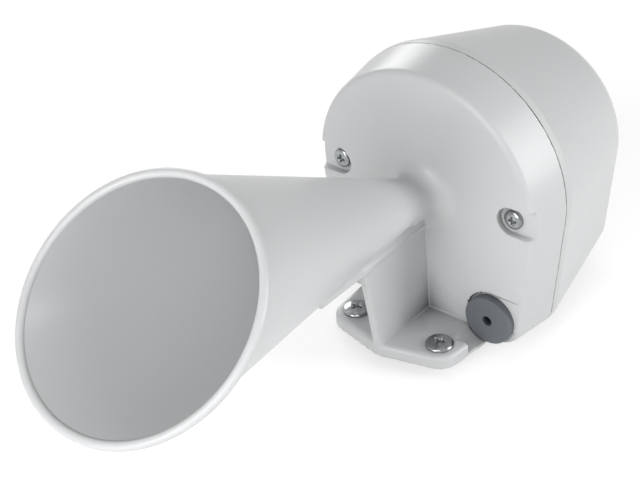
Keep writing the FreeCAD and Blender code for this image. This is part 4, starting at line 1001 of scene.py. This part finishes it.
def finish_nodes():
    """Give every CAD node its own material."""
    for part in frame["record"]["subparts"]:
        for place in frame["nodes"][part["node"]].material_slots:
            place.material = MATERIALS[part["material_slot"]]


# Camera

FOCAL_PIXELS = 1827.2
PICTURE_WIDTH = 640
SENSOR_WIDTH = 36


def make_camera():
    """The camera of the photograph, fitted to the object's outlines."""
    place = Vector((319.33, -401.90, 385.91)) * MM
    azimuth = math.radians(41.25)
    elevation = math.radians(33.72)
    roll = math.radians(-4.14)
    forward = Vector((
        -math.sin(azimuth) * math.cos(elevation),
        math.cos(azimuth) * math.cos(elevation),
        -math.sin(elevation),
    ))
    level = Vector((math.cos(azimuth), math.sin(azimuth), 0))
    upright = level.cross(forward)
    right = level * math.cos(roll) + upright * math.sin(roll)
    up = upright * math.cos(roll) - level * math.sin(roll)
    data = bpy.data.cameras.new("camera")
    data.sensor_fit = "HORIZONTAL"
    data.sensor_width = SENSOR_WIDTH
    data.lens = FOCAL_PIXELS / PICTURE_WIDTH * SENSOR_WIDTH
    data.clip_start = 0.01
    camera = bpy.data.objects.new("camera", data)
    bpy.context.scene.collection.objects.link(camera)
    turn = Matrix((right, up, -forward)).transposed().to_4x4()
    camera.matrix_world = Matrix.Translation(place) @ turn
    bpy.context.scene.camera = camera


# Light

WORLD_LIGHT = 0.26
FLOOR_COLOUR = 0.9
FLOOR_GLOW = 0.68
FLOOR_SHADE = 0.46
FLOOR_HALF = 6.0
FLOOR_GAP = 0.0005
LAMP_AIM = Vector((0, -0.03, 0.05))

# Name, azimuth and elevation in degrees, distance and size in metres, power in watts
LAMPS = [
    ("front_softbox", 0, 35, 1.2, 0.5, 4.4),
    ("low_front_softbox", 0, 8, 1.2, 0.5, 5.0),
    ("side_softbox", 120, 30, 1.2, 0.5, 3.4),
    ("low_side_softbox", 120, 10, 1.2, 0.5, 4.4),
    ("corner_lamp", 30, 25, 0.42, 0.2, 0.42),
    ("back_softbox", 235, 20, 1.2, 0.5, 4.0),
]


def make_area(name, azimuth, elevation, distance, size, power):
    """A soft square lamp that looks at the siren. Azimuth 0 is in front of the horn, 90 to its right."""
    turn = math.radians(azimuth)
    rise = math.radians(elevation)
    way = Vector((math.sin(turn) * math.cos(rise), -math.cos(turn) * math.cos(rise), math.sin(rise)))
    data = bpy.data.lights.new(name, "AREA")
    data.shape = "SQUARE"
    data.size = size
    data.energy = power
    lamp = bpy.data.objects.new(name, data)
    bpy.context.scene.collection.objects.link(lamp)
    lamp.location = LAMP_AIM + way * distance
    lamp.rotation_euler = (-way).to_track_quat("-Z", "Y").to_euler()
    lamp.visible_camera = False


def white_to_the_eye(nodes, links, plain, white, output):
    """Send the white shader where the camera or a mirror looks, and the plain one to the light."""
    path = nodes.new("ShaderNodeLightPath")
    for ray in ("Is Camera Ray", "Is Glossy Ray", "Is Transmission Ray"):
        choice = nodes.new("ShaderNodeMixShader")
        links.new(path.outputs[ray], choice.inputs["Fac"])
        links.new(plain, choice.inputs[1])
        links.new(white, choice.inputs[2])
        plain = choice.outputs["Shader"]
    links.new(plain, output)


def make_floor():
    """A pale floor that reads as white and keeps the shadow of the siren."""
    mesh = bpy.data.meshes.new("floor")
    size = FLOOR_HALF
    height = cad_bounds[0][2] - FLOOR_GAP
    corners = [(-size, -size, height), (size, -size, height), (size, size, height), (-size, size, height)]
    mesh.from_pydata(corners, [], [(0, 1, 2, 3)])
    floor = bpy.data.objects.new("floor", mesh)
    bpy.context.scene.collection.objects.link(floor)
    material = bpy.data.materials.new("floor_white")
    material.use_nodes = True
    nodes = material.node_tree.nodes
    links = material.node_tree.links
    surface = nodes["Principled BSDF"]
    surface.inputs["Base Color"].default_value = (FLOOR_COLOUR, FLOOR_COLOUR, FLOOR_COLOUR, 1)
    surface.inputs["Roughness"].default_value = 0.8
    glow = nodes.new("ShaderNodeEmission")
    glow.inputs["Strength"].default_value = FLOOR_GLOW
    veil = nodes.new("ShaderNodeBsdfDiffuse")
    veil.inputs["Color"].default_value = (FLOOR_SHADE, FLOOR_SHADE, FLOOR_SHADE, 1)
    pale = nodes.new("ShaderNodeAddShader")
    links.new(glow.outputs["Emission"], pale.inputs[0])
    links.new(veil.outputs["BSDF"], pale.inputs[1])
    output = nodes["Material Output"].inputs["Surface"]
    white_to_the_eye(nodes, links, surface.outputs["BSDF"], pale.outputs["Shader"], output)
    mesh.materials.append(material)


def make_world():
    """Even studio light, white where the camera or a reflection looks past everything."""
    world = bpy.data.worlds.new("studio")
    bpy.context.scene.world = world
    world.use_nodes = True
    nodes = world.node_tree.nodes
    links = world.node_tree.links
    background = nodes["Background"]
    background.inputs["Color"].default_value = (1, 1, 1, 1)
    background.inputs["Strength"].default_value = WORLD_LIGHT
    white = nodes.new("ShaderNodeBackground")
    white.inputs["Strength"].default_value = 1.0
    output = nodes["World Output"].inputs["Surface"]
    white_to_the_eye(nodes, links, background.outputs["Background"], white.outputs["Background"], output)


make_camera()
make_front_shell()
make_rear_cover()
make_mount_screw(-MOUNT_HALF_SPACING, "mount_screw_left")
make_mount_screw(MOUNT_HALF_SPACING, "mount_screw_right")
make_cover_screw(-COVER_HALF_SPACING, "cover_screw_left")
make_cover_screw(COVER_HALF_SPACING, "cover_screw_right")
make_grommet()
finish_nodes()
make_floor()
make_world()
for lamp_sizes in LAMPS:
    make_area(*lamp_sizes)
bpy.context.scene.view_settings.view_transform = "Standard"
